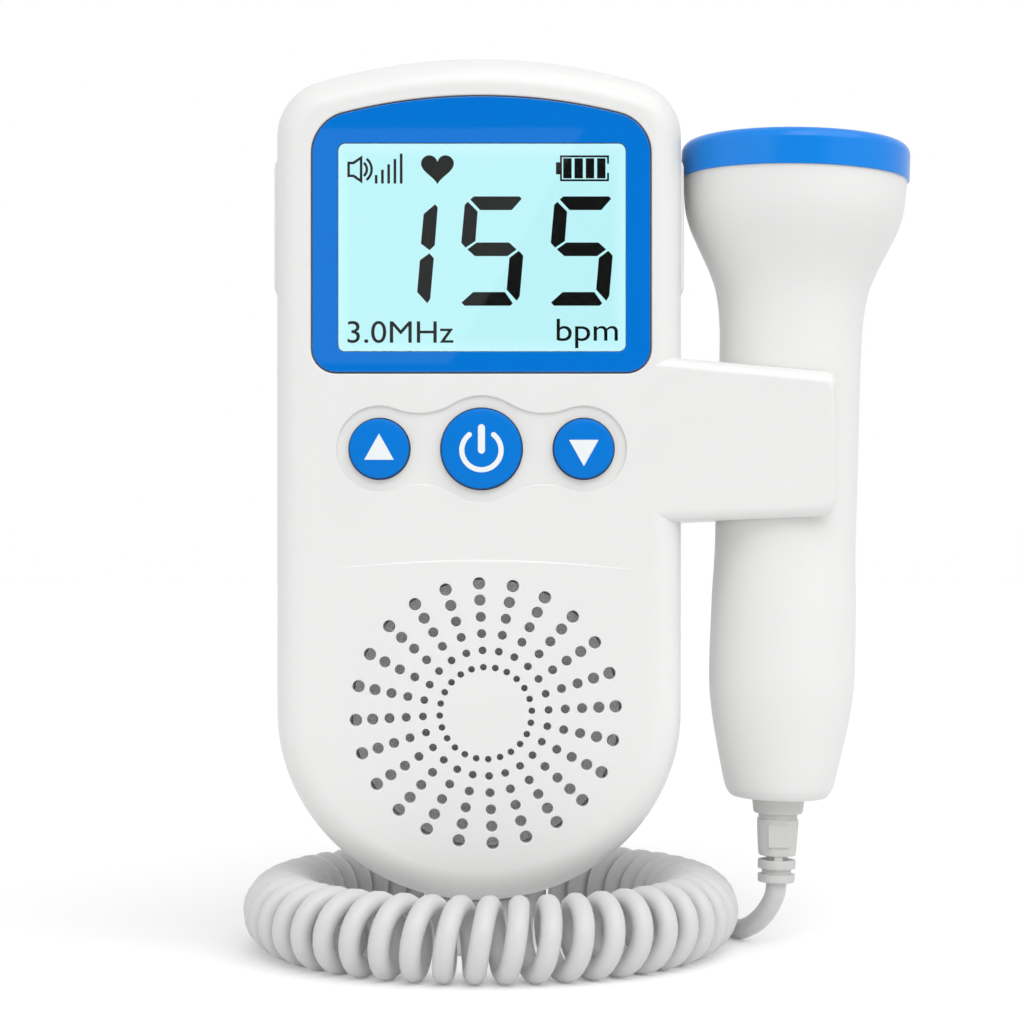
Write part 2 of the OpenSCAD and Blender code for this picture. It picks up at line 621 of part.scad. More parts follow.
ring_top_z = shell_top_z + ring_h;
spigot_r = bell_r - probe_wall - fit_gap;
spigot_z = shell_top_z - 2.6;
ring_rim = 4;
ring_edge_r = 1.8;
face_r = head_r - ring_rim;
face_t = 2.4;
face_z = ring_top_z - face_t;
module face_ring() color("dodgerblue") on_probe() rotate_extrude()
    polygon(concat([[face_r + fit_gap, ring_top_z], [face_r + fit_gap, spigot_z], [spigot_r - 0.6, spigot_z],
                    [spigot_r - 0.3, shell_top_z], [head_r, shell_top_z]],
                   arc([head_r - ring_edge_r, ring_top_z - ring_edge_r], ring_edge_r, 0, 90, 6)));
module acoustic_face() color("dodgerblue") on_probe()
    translate([0, 0, face_z]) cylinder(h = face_t, r = face_r);

// Inside the head: two half-moon crystals on their backing, and the board down in the handle
crystal_t = 1.2;
crystal_r = face_r - 2.4;
crystal_slot = 1.2;
crystal_z = face_z - crystal_t;
module crystal_pair() color("khaki") on_probe() translate([0, 0, crystal_z]) difference() {
    cylinder(h = crystal_t, r = crystal_r);
    translate([-crystal_slot/2, -crystal_r - over, -over])
        cube([crystal_slot, 2*(crystal_r + over), crystal_t + 2*over]);
}
backing_h = 8;
backing_z = crystal_z - backing_h;
module backing_cup() color("dimgray") on_probe()
    translate([0, 0, backing_z]) cylinder(h = backing_h, r = face_r);
probe_board_t = 1.2;
probe_board_z = 2*shell_z;
module probe_board() color("darkgreen") on_probe() {
    half_w = neck_r - probe_wall - run_gap - 0.1;
    translate([-probe_board_t/2, -half_w, probe_board_z])
        cube([probe_board_t, 2*half_w, backing_z - probe_board_z]);
}

// Strain relief: radius and height above its foot, up to the shell
relief_steps = [[2.9, 0], [3, 1.25], [2.6, 1.25], [2.6, 2.15], [3.05, 2.15], [3.1, 3.65], [2.6, 3.65],
                [2.6, 4.4], [3.15, 4.4], [3.45, 9.95], [3.3, 9.95], [3.3, 11.15], [3.9, 11.15]];
// Collar inside the shell: its rim past the hole, its height above the shell's end, its thickness
relief_collar = [1.4, 2.1, 1.5];
relief_slot = [3.6, 0.8, 3.4];
relief_slot_up = 5.4;
module probe_strain_relief() color("gainsboro") on_probe() difference() {
    collar_z = shell_z + relief_collar[1];
    collar_r = relief_hole_r + relief_collar[0];
    collar_top_z = collar_z + relief_collar[2];
    rotate_extrude() polygon(concat([[0, relief_z]], [for (p = relief_steps) [p[0], relief_z + p[1]]],
                                    [[relief_hole_r + 0.25, shell_z - 0.1], [relief_hole_r, shell_z],
                                     [relief_hole_r, collar_z], [collar_r, collar_z],
                                     [collar_r, collar_top_z], [0, collar_top_z]]));
    translate([-relief_slot[0]/2, -relief_hole_r, relief_z + relief_slot_up]) cube(relief_slot);
}

front_housing();
rear_housing();
probe_clip();
side_grip_left();
side_grip_right();
lens_panel();
display_window();
display_glass();
display_backlight();
main_board();
keypad_membrane();
up_button();
power_button();
down_button();
speaker_mesh();
speaker_basket();
speaker_cone();
speaker_magnet();
earphone_socket();
battery_cell_left();
battery_cell_right();
battery_contacts();
battery_cover();
housing_screws();
cable_boot();
cord_tail();
cord_coil();
cord_lead();
probe_shell();
face_ring();
acoustic_face();
crystal_pair();
backing_cup();
probe_board();
probe_strain_relief();
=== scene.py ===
"""Hand-held heartbeat monitor with an ultrasound probe in its side clip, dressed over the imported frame.

The front faces -Y, +Z is up and the floor is z = 0. Sizes here are millimetres, and become metres
where a mesh is made. What comes from the frame is read from its nodes' boxes.
"""
import math

import bmesh
import bpy
from mathutils import Matrix, Vector

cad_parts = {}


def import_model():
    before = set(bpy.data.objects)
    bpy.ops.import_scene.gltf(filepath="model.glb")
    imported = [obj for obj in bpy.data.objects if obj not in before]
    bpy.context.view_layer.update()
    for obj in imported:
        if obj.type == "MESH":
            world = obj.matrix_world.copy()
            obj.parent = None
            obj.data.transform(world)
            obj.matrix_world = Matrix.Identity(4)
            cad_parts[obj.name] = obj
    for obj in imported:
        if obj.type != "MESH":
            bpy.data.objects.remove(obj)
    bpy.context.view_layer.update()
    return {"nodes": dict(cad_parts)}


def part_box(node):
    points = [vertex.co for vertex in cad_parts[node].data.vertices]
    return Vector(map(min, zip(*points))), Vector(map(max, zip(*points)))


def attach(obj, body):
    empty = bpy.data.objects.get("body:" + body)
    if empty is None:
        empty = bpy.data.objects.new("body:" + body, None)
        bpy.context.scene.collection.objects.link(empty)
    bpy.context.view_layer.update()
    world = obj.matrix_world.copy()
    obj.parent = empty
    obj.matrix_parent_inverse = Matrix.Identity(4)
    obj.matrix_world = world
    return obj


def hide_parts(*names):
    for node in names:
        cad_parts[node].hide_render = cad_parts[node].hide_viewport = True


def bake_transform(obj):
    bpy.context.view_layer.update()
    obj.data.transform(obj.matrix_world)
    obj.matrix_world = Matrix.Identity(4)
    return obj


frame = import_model()

MM = 0.001
WELD = 0.0005
FRONT, BACK = -1, 1


def node_box(node):
    """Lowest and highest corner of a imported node, in millimetres."""
    return [Vector(corner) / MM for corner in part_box(node)]


# ---------------------------------------------------------------- sizes from the frame
unit_low, unit_high = node_box("front_housing")
HALF_W = unit_high.x
CROWN_Z = unit_high.z
RIDE_Z = unit_low.z
FRONT_Y = unit_low.y
BACK_Y = node_box("rear_housing")[1].y
lens_low, lens_high = node_box("lens_panel")
window_low, window_high = node_box("display_window")
glass_low = node_box("display_glass")[0]
cover_low, cover_high = node_box("battery_cover")
socket_low, socket_high = node_box("earphone_socket")
grip_low, grip_high = node_box("side_grip_right")
speaker_low, speaker_high = node_box("speaker_mesh")
SPEAKER_X = (speaker_low.x + speaker_high.x) / 2
SPEAKER_Z = (speaker_low.z + speaker_high.z) / 2

# ---------------------------------------------------------------- driving sizes of the real object
WALL = 2.2
CROWN_R, CORNER_R, BOTTOM_H, EDGE_R = 90, 9, 29.8, 5
BOTTOM_MID_Z = RIDE_Z + BOTTOM_H
FIT, RUN = 0.15, 0.3
LIP_R = 0.35
PROBE_LEAN = math.radians(1.52)
PROBE_X = 47.703
NECK_R, BELL_R, HEAD_R, PROBE_WALL = 11.35, 18, 18.4, 1.8
SHELL_Z, SHELL_TOP_Z, RING_TOP_Z, RELIEF_Z = 24, 124.3, 130.2, 10.8

KEYS = {"up_button": "up_key", "power_button": "power_key", "down_button": "down_key"}


# ---------------------------------------------------------------- mesh making
def weld(mesh):
    """Merges points that rounding has split, and turns the faces outwards."""
    shape = bmesh.new()
    shape.from_mesh(mesh)
    bmesh.ops.remove_doubles(shape, verts=shape.verts, dist=WELD * MM)
    bmesh.ops.dissolve_degenerate(shape, edges=shape.edges, dist=WELD * MM)
    bmesh.ops.recalc_face_normals(shape, faces=shape.faces)
    shape.to_mesh(mesh)
    shape.free()


def piece(name, points, faces):
    """A mesh object from points in millimetres, with its faces turned outwards."""
    mesh = bpy.data.meshes.new(name)
    mesh.from_pydata([Vector(p) * MM for p in points], [], faces)
    weld(mesh)
    made = bpy.data.objects.new(name, mesh)
    bpy.context.scene.collection.objects.link(made)
    return made


def skin(name, rings, closed=False):
    """A surface through rings of equal length. Its end rings are closed, or joined to each other."""
    count = len(rings[0])
    points = [p for ring in rings for p in ring]
    spans = len(rings) if closed else len(rings) - 1
    faces = []
    for i in range(spans):
        a, b = i * count, (i + 1) % len(rings) * count
        faces += [(a + k, a + (k + 1) % count, b + (k + 1) % count, b + k) for k in range(count)]
    if not closed:
        faces += [tuple(range(count)), tuple(range(len(points) - count, len(points)))]
    return piece(name, points, faces)


def bake(made):
    """Turns the object's modifiers into its plain mesh."""
    bpy.context.view_layer.update()
    evaluated = made.evaluated_get(bpy.context.evaluated_depsgraph_get())
    mesh = bpy.data.meshes.new_from_object(evaluated)
    made.modifiers.clear()
    made.data = mesh


def combine(made, operation, *others):
    """Exact boolean of the object with each of the others, which are used up."""
    for other in others:
        step = made.modifiers.new("Combine", "BOOLEAN")
        step.operation = operation
        step.solver = "EXACT"
        step.object = other
        bake(made)
        weld(made.data)
        bpy.data.objects.remove(other)
    return made


def score(made, axis, places):
    """Cuts the faces across an axis, so that a face with many holes stays simple."""
    normal = Vector([1 if i == axis else 0 for i in range(3)])
    shape = bmesh.new()
    shape.from_mesh(made.data)
    for place in places:
        parts = shape.verts[:] + shape.edges[:] + shape.faces[:]
        bmesh.ops.bisect_plane(shape, geom=parts, dist=1e-8, plane_co=normal * place * MM, plane_no=normal)
    shape.to_mesh(made.data)
    shape.free()


def join(name, parts):
    """One mesh object from several that don't touch, which are used up."""
    shape = bmesh.new()
    for part in parts:
        shape.from_mesh(part.data)
        bpy.data.objects.remove(part)
    made = piece(name, [], [])
    shape.to_mesh(made.data)
    shape.free()
    return made


def soften(made, angle=32, weighted=True):
    """Smooth shading, with edges sharper than the angle kept and flat faces kept flat."""
    made.data.shade_smooth()
    made.data.set_sharp_from_angle(angle=math.radians(angle))
    if weighted:
        step = made.modifiers.new("Flat faces stay flat", "WEIGHTED_NORMAL")
        step.keep_sharp = True
        bake(made)
    return made


def finish(made, material, body, slot, *nodes):
    """Gives a piece its material and its body, and hides the nodes it stands for. The slot is not used."""
    made.data.materials.clear()
    made.data.materials.append(material)
    made.data.polygons.foreach_set("material_index", [0] * len(made.data.polygons))
    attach(made, body)
    if nodes:
        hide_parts(*nodes)
    return made


# ---------------------------------------------------------------- outlines: lists of (x, z) from the front
def arc(x, z, r, start, end, steps):
    turns = [math.radians(start + (end - start) * i / steps) for i in range(steps + 1)]
    return [(x + r * math.cos(t), z + r * math.sin(t)) for t in turns]


def arched_top(half, top, crown, corner, inset):
    """Right end to left end of an arched upper edge with round corners, drawn in by inset."""
    reach = half - corner
    tilt = math.degrees(math.asin(reach / (crown - corner)))
    corner_z = top - crown + (crown - corner) * math.cos(math.radians(tilt))
    return (arc(reach, corner_z, corner - inset, 0, 90 - tilt, 16)
            + arc(0, top - crown, crown - inset, 90 - tilt, 90 + tilt, 24)[1:-1]
            + arc(-reach, corner_z, corner - inset, 90 + tilt, 180, 16))


def unit_outline(inset):
    bottom = [(x * (HALF_W - inset), BOTTOM_MID_Z + z * (BOTTOM_H - inset))
              for x, z in arc(0, 0, 1, 180, 360, 72)]
    return arched_top(HALF_W, CROWN_Z, CROWN_R, CORNER_R, inset) + bottom


LENS_X = (lens_low.x + lens_high.x) / 2
LENS_CROWN_R, LENS_UPPER_R, LENS_LOWER_R = 88, 6.5, 3.8


def lens_outline(inset):
    half, r = (lens_high.x - lens_low.x) / 2, LENS_LOWER_R
    top = arched_top(half, lens_high.z, LENS_CROWN_R, LENS_UPPER_R, inset)
    lower = (arc(r - half, lens_low.z + r, r - inset, 180, 270, 10)
             + arc(half - r, lens_low.z + r, r - inset, 270, 360, 10))
    return [(x + LENS_X, z) for x, z in top + lower]


def rounded(low, high, r):
    """Outline function of a rectangle with round corners, between two (x, z) corners."""
    def outline(inset):
        x0, z0, x1, z1 = low[0] + r, low[1] + r, high[0] - r, high[1] - r
        return (arc(x1, z1, r - inset, 0, 90, 8) + arc(x0, z1, r - inset, 90, 180, 8)
                + arc(x0, z0, r - inset, 180, 270, 8) + arc(x1, z0, r - inset, 270, 360, 8))
    return outline


def circle(x, z, r, steps=64):
    return lambda inset: arc(x, z, r - inset, 0, 360, steps)[:-1]


def round_over(face_y, side, r, steps=8):
    """Levels (y, inset) of an edge rounded towards a face, the outermost level first."""
    angles = [math.radians(90 * i / steps) for i in range(steps + 1)]
    return [(face_y - side * r * (1 - math.sin(a)), r * (1 - math.cos(a))) for a in angles]


def plate(name, outline, levels, upright=lambda x, y, z: (x, y, z)):
    """A solid whose outline is drawn in by each level's inset at that level's y."""
    return skin(name, [[upright(x, y, z) for x, z in outline(inset)] for y, inset in levels])


def lip(r):
    """Levels (height over the face, growth) of a rounded lip, deepest first. The last crosses the face."""
    made = [(-r * (1 - math.sin(a)), r * (1 - math.cos(a))) for a in map(math.radians, (0, 25, 50, 75))]
    return made + [(-made[-1][0], r)]


def cutter(outline, bottom_y, side=FRONT, r=LIP_R, past=1):
    """A solid that cuts a pocket down to bottom_y through the front or back face, with a rounded lip."""
    face_y = FRONT_Y if side == FRONT else BACK_Y
    edge = [(face_y + side * height, -growth) for height, growth in lip(r)]
    return plate("cutter", outline, [(bottom_y, 0)] + edge + [(face_y + side * past, -r)])


def lathe(name, profile, place=Matrix.Identity(4), steps=96, closed=False):
    """A profile of (radius, height) turned round the axis of the place."""
    turns = [2 * math.pi * i / steps for i in range(steps)]
    rings = [[place @ Vector((r * math.cos(t), r * math.sin(t), h)) for t in turns] for r, h in profile]
    return skin(name, rings, closed)


def along_y(x, y, z):
    """Place whose axis points to the front, along -Y, from a point."""
    return Matrix.Translation((x, y, z)) @ Matrix.Rotation(math.radians(90), 4, "X")


def rounded_disc(r, low, high, edge, steps=6):
    """Profile of a disc with a rounded upper edge, from the axis at the bottom to the axis at the top."""
    rim = [(r - edge * (1 - math.cos(a)), high - edge * (1 - math.sin(a)))
           for a in [math.radians(90 * i / steps) for i in range(steps + 1)]]
    return [(0, low), (r, low)] + rim + [(0, high)]


def smooth_path(keys, steps):
    """Points of a smooth curve through key points, steps from each to the next."""
    last = len(keys) - 1
    made = []
    for i in range(last):
        a, b, c, d = keys[max(i - 1, 0)], keys[i], keys[i + 1], keys[min(i + 2, last)]
        for t in [j / steps for j in range(steps)]:
            made.append((2 * b + (c - a) * t + (2 * a - 5 * b + 4 * c - d) * t * t
                         + (3 * b - a - 3 * c + d) * t ** 3) / 2)
    return made + [keys[last]]


def tube(name, path, radius, sides=14):
    """A closed tube along a path, without twist."""
    last = len(path) - 1
    normal = Vector((0, 0, 1))
    rings = []
    for i, point in enumerate(path):
        along = (path[min(i + 1, last)] - path[max(i - 1, 0)]).normalized()
        normal = (normal - along * normal.dot(along)).normalized()
        side = along.cross(normal)
        turns = [2 * math.pi * k / sides for k in range(sides)]
        rings.append([point + radius * (math.cos(t) * normal + math.sin(t) * side) for t in turns])
    return skin(name, rings)


# ---------------------------------------------------------------- materials
def linear(hex_colour):
    """An sRGB hex colour as linear RGBA."""
    def channel(value):
        return value / 12.92 if value <= 0.04045 else ((value + 0.055) / 1.055) ** 2.4
    return tuple(channel(int(hex_colour[i:i + 2], 16) / 255) for i in (1, 3, 5)) + (1,)


def add_node(tree, kind, inputs=None, **settings):
    """Adds a node with its settings. An input is a value, or the socket that it is linked from."""
    node = tree.nodes.new(kind)
    for name, value in settings.items():
        setattr(node, name, value)
    for name, value in (inputs or {}).items():
        if isinstance(value, bpy.types.NodeSocket):
            tree.links.new(value, node.inputs[name])
        else:
            node.inputs[name].default_value = value
    return node


def new_material(name, **surface):
    """A material with these values on its surface shader. Returns it, its tree and its shader."""
    material = bpy.data.materials.new(name)
    material.use_nodes = True
    shader = material.node_tree.nodes["Principled BSDF"]
    for socket, value in surface.items():
        shader.inputs[socket.replace("_", " ")].default_value = value
    return material, material.node_tree, shader


def moulded(name, colour, shade, roughness, grain, depth, ior=1.53, sheen=0.5):
    """Moulded surface: a faint drift between two shades, and a fine tool texture.

    The drift is 25 mm wide. The grain is the texture's size and depth its height, in millimetres.
    """
    material, tree, shader = new_material(name, Roughness=roughness, IOR=ior, Specular_IOR_Level=sheen)
    place = add_node(tree, "ShaderNodeTexCoord").outputs["Object"]
    drift = add_node(tree, "ShaderNodeTexNoise", {"Vector": place, "Scale": 1 / (25 * MM), "Detail": 2})
    mix = add_node(tree, "ShaderNodeMix", {"Factor": drift.outputs["Fac"], "A": linear(colour),
                                           "B": linear(shade)}, data_type="RGBA")
    texture = add_node(tree, "ShaderNodeTexNoise",
                       {"Vector": place, "Scale": 1 / (grain * MM), "Detail": 1})
    bump = add_node(tree, "ShaderNodeBump", {"Height": texture.outputs["Fac"], "Distance": depth * MM})
    tree.links.new(mix.outputs["Result"], shader.inputs["Base Color"])
    tree.links.new(bump.outputs["Normal"], shader.inputs["Normal"])
    return material


def blue_plastic(name, colour, shade, roughness, grain, sheen, rim=0.0):
    """Blue plastic that keeps the white round it neutral, with painted navy shade where an edge turns from
    the front.
    """
    material = moulded(name, colour, shade, roughness, grain, 0.002, sheen=sheen)
    tree = material.node_tree
    shader = tree.nodes["Principled BSDF"]
    blue = shader.inputs["Base Color"].links[0].from_socket
    normal = add_node(tree, "ShaderNodeNewGeometry").outputs["Normal"]
    forward = add_node(tree, "ShaderNodeSeparateXYZ", {"Vector": normal}).outputs["Y"]
    # painted shade: faces whose normal turns from the front past the rim amount get navy mixed in, up to 0.8;
    # a rim of 0 paints none
    edge_shade_share = add_node(tree, "ShaderNodeMapRange", {"Value": forward, "From Min": -rim,
                                                   "From Max": 0.1 - rim, "To Max": 0.8 if rim else 0.0})
    edge_shaded = add_node(tree, "ShaderNodeMix", {"Factor": edge_shade_share.outputs["Result"], "A": blue,
                                             "B": linear("#0A2C58")}, data_type="RGBA")
    rays = add_node(tree, "ShaderNodeLightPath").outputs
    cast = add_node(tree, "ShaderNodeMix", {"Factor": rays["Is Diffuse Ray"], "A": edge_shaded.outputs["Result"],
                                            "B": linear("#8E8F90")}, data_type="RGBA")
    tree.links.new(cast.outputs["Result"], shader.inputs["Base Color"])
    return material


def clear_acrylic():
    """Clear cast acrylic of the window: only its reflections show."""
    return new_material("clear_acrylic", IOR=1.49, Roughness=0.02, Transmission_Weight=1,
                        Base_Color=linear("#FBFEFE"))[0]


def lit_display():
    """Backlit liquid crystal glass: pale cyan light that is a little brighter along the window's edges."""
    material, tree, shader = new_material("backlit_crystal_glass", Roughness=0.35, IOR=1.5,
                                          Base_Color=linear("#202828"), Emission_Strength=1.06)
    place = add_node(tree, "ShaderNodeTexCoord").outputs["Object"]
    split = add_node(tree, "ShaderNodeSeparateXYZ", {"Vector": place})
    nearness = []
    for axis, low, high in (("X", window_low.x, window_high.x), ("Z", window_low.z, window_high.z)):
        middle = (low + high) / 2 * MM
        away = add_node(tree, "ShaderNodeMath", {0: split.outputs[axis], 1: middle}, operation="SUBTRACT")
        size = add_node(tree, "ShaderNodeMath", {0: away.outputs[0]}, operation="ABSOLUTE")
        edge = (high - low) / 2 * MM
        span = add_node(tree, "ShaderNodeMapRange", {"Value": size.outputs[0], "From Min": edge - 2.2 * MM,
                                                     "From Max": edge - 0.4 * MM},
                        interpolation_type="SMOOTHSTEP")
        nearness.append(span.outputs["Result"])
    either = add_node(tree, "ShaderNodeMath", {0: nearness[0], 1: nearness[1]}, operation="MAXIMUM")
    mix = add_node(tree, "ShaderNodeMix", {"Factor": either.outputs[0], "A": linear("#BEF3F8"),
                                           "B": linear("#C8F8FE")}, data_type="RGBA")
    tree.links.new(mix.outputs["Result"], shader.inputs["Emission Color"])
    return material


def dust_mesh():
    """Woven nylon dust mesh: threads 0.18 mm apart, drawn twice as coarse so that they show."""
    material, tree, shader = new_material("woven_dust_mesh", Roughness=0.7)
    place = add_node(tree, "ShaderNodeTexCoord").outputs["Object"]
    spacing = 0.36 * MM
    heights = []
    for axis in ("X", "Z"):
        # the bands of this texture lie about pi / 10 of its unit apart
        wave = add_node(tree, "ShaderNodeTexWave", {"Vector": place, "Scale": 1 / (spacing * 3.1416)},
                        bands_direction=axis)
        heights.append(wave.outputs["Fac"])
    weave = add_node(tree, "ShaderNodeMath", {0: heights[0], 1: heights[1]}, operation="MULTIPLY")
    mix = add_node(tree, "ShaderNodeMix", {"Factor": weave.outputs[0], "A": linear("#BCBCBC"),
                                           "B": linear("#D8D8D8")}, data_type="RGBA")
    bump = add_node(tree, "ShaderNodeBump", {"Height": weave.outputs[0], "Distance": 0.05 * MM})
    tree.links.new(mix.outputs["Result"], shader.inputs["Base Color"])
    tree.links.new(bump.outputs["Normal"], shader.inputs["Normal"])
    return material


def plated_steel():
    """Nickel-plated steel of screws, contacts and basket: fine drawn lines 0.15 mm apart."""
    material, tree, shader = new_material("nickel_plated_steel", Metallic=1, Base_Color=linear("#C9C8C4"))
    place = add_node(tree, "ShaderNodeTexCoord").outputs["Object"]
    stretch = add_node(tree, "ShaderNodeMapping", {"Vector": place, "Scale": (1, 1, 12)})
    lines = add_node(tree, "ShaderNodeTexNoise",
                     {"Vector": stretch.outputs["Vector"], "Scale": 1 / (1.8 * MM)})
    rough = add_node(tree, "ShaderNodeMapRange",
                     {"Value": lines.outputs["Fac"], "To Min": 0.2, "To Max": 0.4})
    tree.links.new(rough.outputs["Result"], shader.inputs["Roughness"])
    return material


def cell_sleeve():
    """Printed film sleeve of an AA cell: dark body with a bright band at its upper fifth."""
    material, tree, shader = new_material("printed_cell_sleeve", Roughness=0.3)
    place = add_node(tree, "ShaderNodeTexCoord").outputs["Object"]
    height = add_node(tree, "ShaderNodeSeparateXYZ", {"Vector": place}).outputs["Z"]
    low, high = node_box("battery_cell_left")
    band = add_node(tree, "ShaderNodeMath", {0: height, 1: (low.z + 0.78 * (high.z - low.z)) * MM},
                    operation="GREATER_THAN")
    mix = add_node(tree, "ShaderNodeMix", {"Factor": band.outputs[0], "A": linear("#2B3038"),
                                           "B": linear("#B88A4A")}, data_type="RGBA")
    metal = add_node(tree, "ShaderNodeMath", {0: band.outputs[0], 1: 0.6}, operation="MULTIPLY")
    tree.links.new(mix.outputs["Result"], shader.inputs["Base Color"])
    tree.links.new(metal.outputs[0], shader.inputs["Metallic"])
    return material


def solder_mask():
    """Green solder-masked laminate: satin, with faint copper tracks 1 mm apart under the mask."""
    material, tree, shader = new_material("green_solder_mask", Roughness=0.35)
    place = add_node(tree, "ShaderNodeTexCoord").outputs["Object"]
    pitch = 4 * MM
    tracks = add_node(tree, "ShaderNodeTexBrick", {"Vector": place, "Scale": 1 / pitch})
    mix = add_node(tree, "ShaderNodeMix", {"Factor": tracks.outputs["Fac"], "A": linear("#0F5A30"),
                                           "B": linear("#1C7341")}, data_type="RGBA")
    tree.links.new(mix.outputs["Result"], shader.inputs["Base Color"])
    return material


# polished white ABS of the housings: bright, with soft clear highlights
WHITE = moulded("moulded_white_abs", "#F2F2F1", "#EFEFEE", 0.3, 1.4, 0.004)
# spark-eroded white ABS of the probe: a little softer than the housings
PROBE_WHITE = moulded("satin_white_abs", "#F3F3F2", "#F0F0EF", 0.42, 0.5, 0.004)
# blue ABS of the keys: saturated, semi-gloss, with little white in its sheen and a fine painted shade round
# its edges
BLUE = blue_plastic("moulded_blue_abs", "#007CDE", "#007AD9", 0.3, 0.6, 0.1, rim=0.75)
# brighter blue ABS of the probe's face ring: polished, with a soft vertical sheen
RING_BLUE = blue_plastic("polished_blue_abs", "#0089EE", "#0086E9", 0.22, 0.8, 0.3)
# blue film under polished acrylic: deep even colour, clear reflections and a fine painted shade round its
# edges
LENS_BLUE = blue_plastic("polished_blue_acrylic", "#007ADD", "#0077D8", 0.02, 20, 0.5, rim=0.97)
# pad-printed white ink on the keys: slightly matt and thin
INK = moulded("white_print_ink", "#F6FAFC", "#F1F6F8", 0.45, 0.3, 0.002)
# switched-on liquid crystal: almost black, with a faint satin sheen
SEGMENT = moulded("dark_crystal_segment", "#080909", "#060707", 0.3, 0.4, 0.001, sheen=0.15)
# extruded light grey TPU of the cord: satin, with a faint unevenness
JACKET = moulded("extruded_grey_tpu", "#DFDFDF", "#D8D8D8", 0.38, 0.7, 0.01, 1.5)
# overmoulded grey TPE of the boots: matt and slightly darker than the cord
RELIEF = moulded("overmoulded_grey_tpe", "#DADAD8", "#D2D2D0", 0.5, 0.5, 0.008, 1.5)
# moulded silicone of the keypad: dark and matt
DARK_RUBBER = moulded("matt_dark_silicone", "#4A4A4C", "#404042", 0.6, 0.4, 0.01, 1.42)
# pressed paper of the speaker's cone: black and rough
BLACK_PAPER = moulded("pressed_black_paper", "#1E1E1E", "#161616", 0.8, 0.3, 0.02)
# sintered ferrite of the magnet: dark grey and granular
FERRITE = moulded("sintered_ferrite", "#3A3A3B", "#303031", 0.55, 0.2, 0.02)
# moulded nylon of the socket: grey, half matt
NYLON = moulded("moulded_grey_nylon", "#5A5A5C", "#525254", 0.45, 0.4, 0.004)
# diffuser behind the display: white and matt
BACKLIGHT = moulded("matt_white_diffuser", "#ECEEEE", "#E6E8E8", 0.6, 0.5, 0.004)
# silvered ceramic of the crystals: pale and satin
CERAMIC = moulded("silvered_ceramic", "#C6C2B4", "#BDB9AB", 0.35, 0.3, 0.004)
CLEAR = clear_acrylic()
DISPLAY = lit_display()
MESH = dust_mesh()
STEEL = plated_steel()
SLEEVE = cell_sleeve()
MASK = solder_mask()

CAD_FINISHES = {
    DISPLAY: ["display_glass"], BACKLIGHT: ["display_backlight"], MASK: ["main_board", "probe_board"],
    DARK_RUBBER: ["keypad_membrane", "backing_cup"], MESH: ["speaker_mesh"], BLACK_PAPER: ["speaker_cone"],
    FERRITE: ["speaker_magnet"], STEEL: ["speaker_basket", "battery_contacts"],
    SLEEVE: ["battery_cell_left", "battery_cell_right"], CERAMIC: ["crystal_pair"],
}
for material, nodes in CAD_FINISHES.items():
    for node in nodes:
        for place in frame["nodes"][node].material_slots:
            place.material = material


# ---------------------------------------------------------------- camera
def camera():
    """The photograph's view: from the front, 65 mm over the floor and 395 mm from the unit's middle plane."""
    lens = bpy.data.cameras.new("camera")
    lens.sensor_width = 36
    lens.lens = 85.71
    lens.shift_y = 0.0352
    lens.clip_start = 0.01
    eye = bpy.data.objects.new("camera", lens)
    eye.location = Vector((5.2, -395, 64.8)) * MM
    eye.rotation_euler = (math.radians(90), 0, 0)
    bpy.context.scene.collection.objects.link(eye)
    bpy.context.scene.camera = eye


camera()

# ---------------------------------------------------------------- cord: tail, curls and lead in one piece
CORD_D = 3.3
RING_X, RING_R, CURL_R, CURLS, CURL_STEPS = 1.8, 33.3, 5, 43, 24
# half of the ring's gap behind the unit, in degrees
GAP = 14
CURL_Z = CORD_D / 2 + CURL_R

PROBE_PLACE = Matrix.Translation((PROBE_X, 0, 0)) @ Matrix.Rotation(PROBE_LEAN, 4, "Y")


def on_ring(angle, r, z):
    turn = math.radians(angle)
    return Vector((RING_X + r * math.cos(turn), r * math.sin(turn), z))


def on_probe(r, z, turn=0):
    """A point of the probe, at a radius and a height along its leaning axis."""
    return PROBE_PLACE @ Vector((r * math.cos(turn), r * math.sin(turn), z))


def cord_path():
    """The cord's centre line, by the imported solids' route, and the place in it where the lead starts."""
    tail = [on_ring(90 + GAP, r, z) for r, z in
            [(19.4, 3), (21.5, 3), (23.6, 2.6), (25.7, 2.05), (27.8, 1.7), (RING_R - CORD_D, CORD_D / 2)]]
    coil = []
    for i in range(CURL_STEPS * CURLS + 1):
        turn = math.radians(360 * i / CURL_STEPS - 90)
        angle = 90 + GAP + (360 - 2 * GAP) * i / (CURL_STEPS * CURLS)
        coil.append(on_ring(angle, RING_R + CURL_R * math.cos(turn), CURL_Z + CURL_R * math.sin(turn)))
    lead = [on_ring(a, r, CORD_D / 2) for a, r in
            [(90 - GAP, RING_R + CORD_D), (75.6, 38.2), (74.4, 40.6), (71.6, 42.8), (67, 44.2), (61, 44.6),
             (54, 44.2), (47, 43.6), (40, 43), (33, 42.5), (26, 42.1), (19, 41.8)]]
    lead += [Vector(p) for p in [(42.5, 9.6, 1.65), (43.3, 6.9, 2.1), (44.6, 4.7, 3.1), (45.9, 2.9, 4.6),
                                 (47, 1.4, 6.5), (47.75, 0.4, 8.4)]]
    lead += [on_probe(0, RELIEF_Z - 1), on_probe(0, RELIEF_Z)]
    fixed = smooth_path(tail, 4) + coil
    return fixed + smooth_path(lead, 4), len(fixed)


def lead_shares(path, first):
    """How far each point of the path follows the probe: not up to the lead, and fully near the probe."""
    near = 8
    run = [0]
    for a, b in zip(path[first:], path[first + 1:]):
        run.append(run[-1] + (b - a).length)
    steps = [min(length / (run[-1] - near), 1) for length in run]
    return [0] * first + [t * t * (3 - 2 * t) for t in steps]


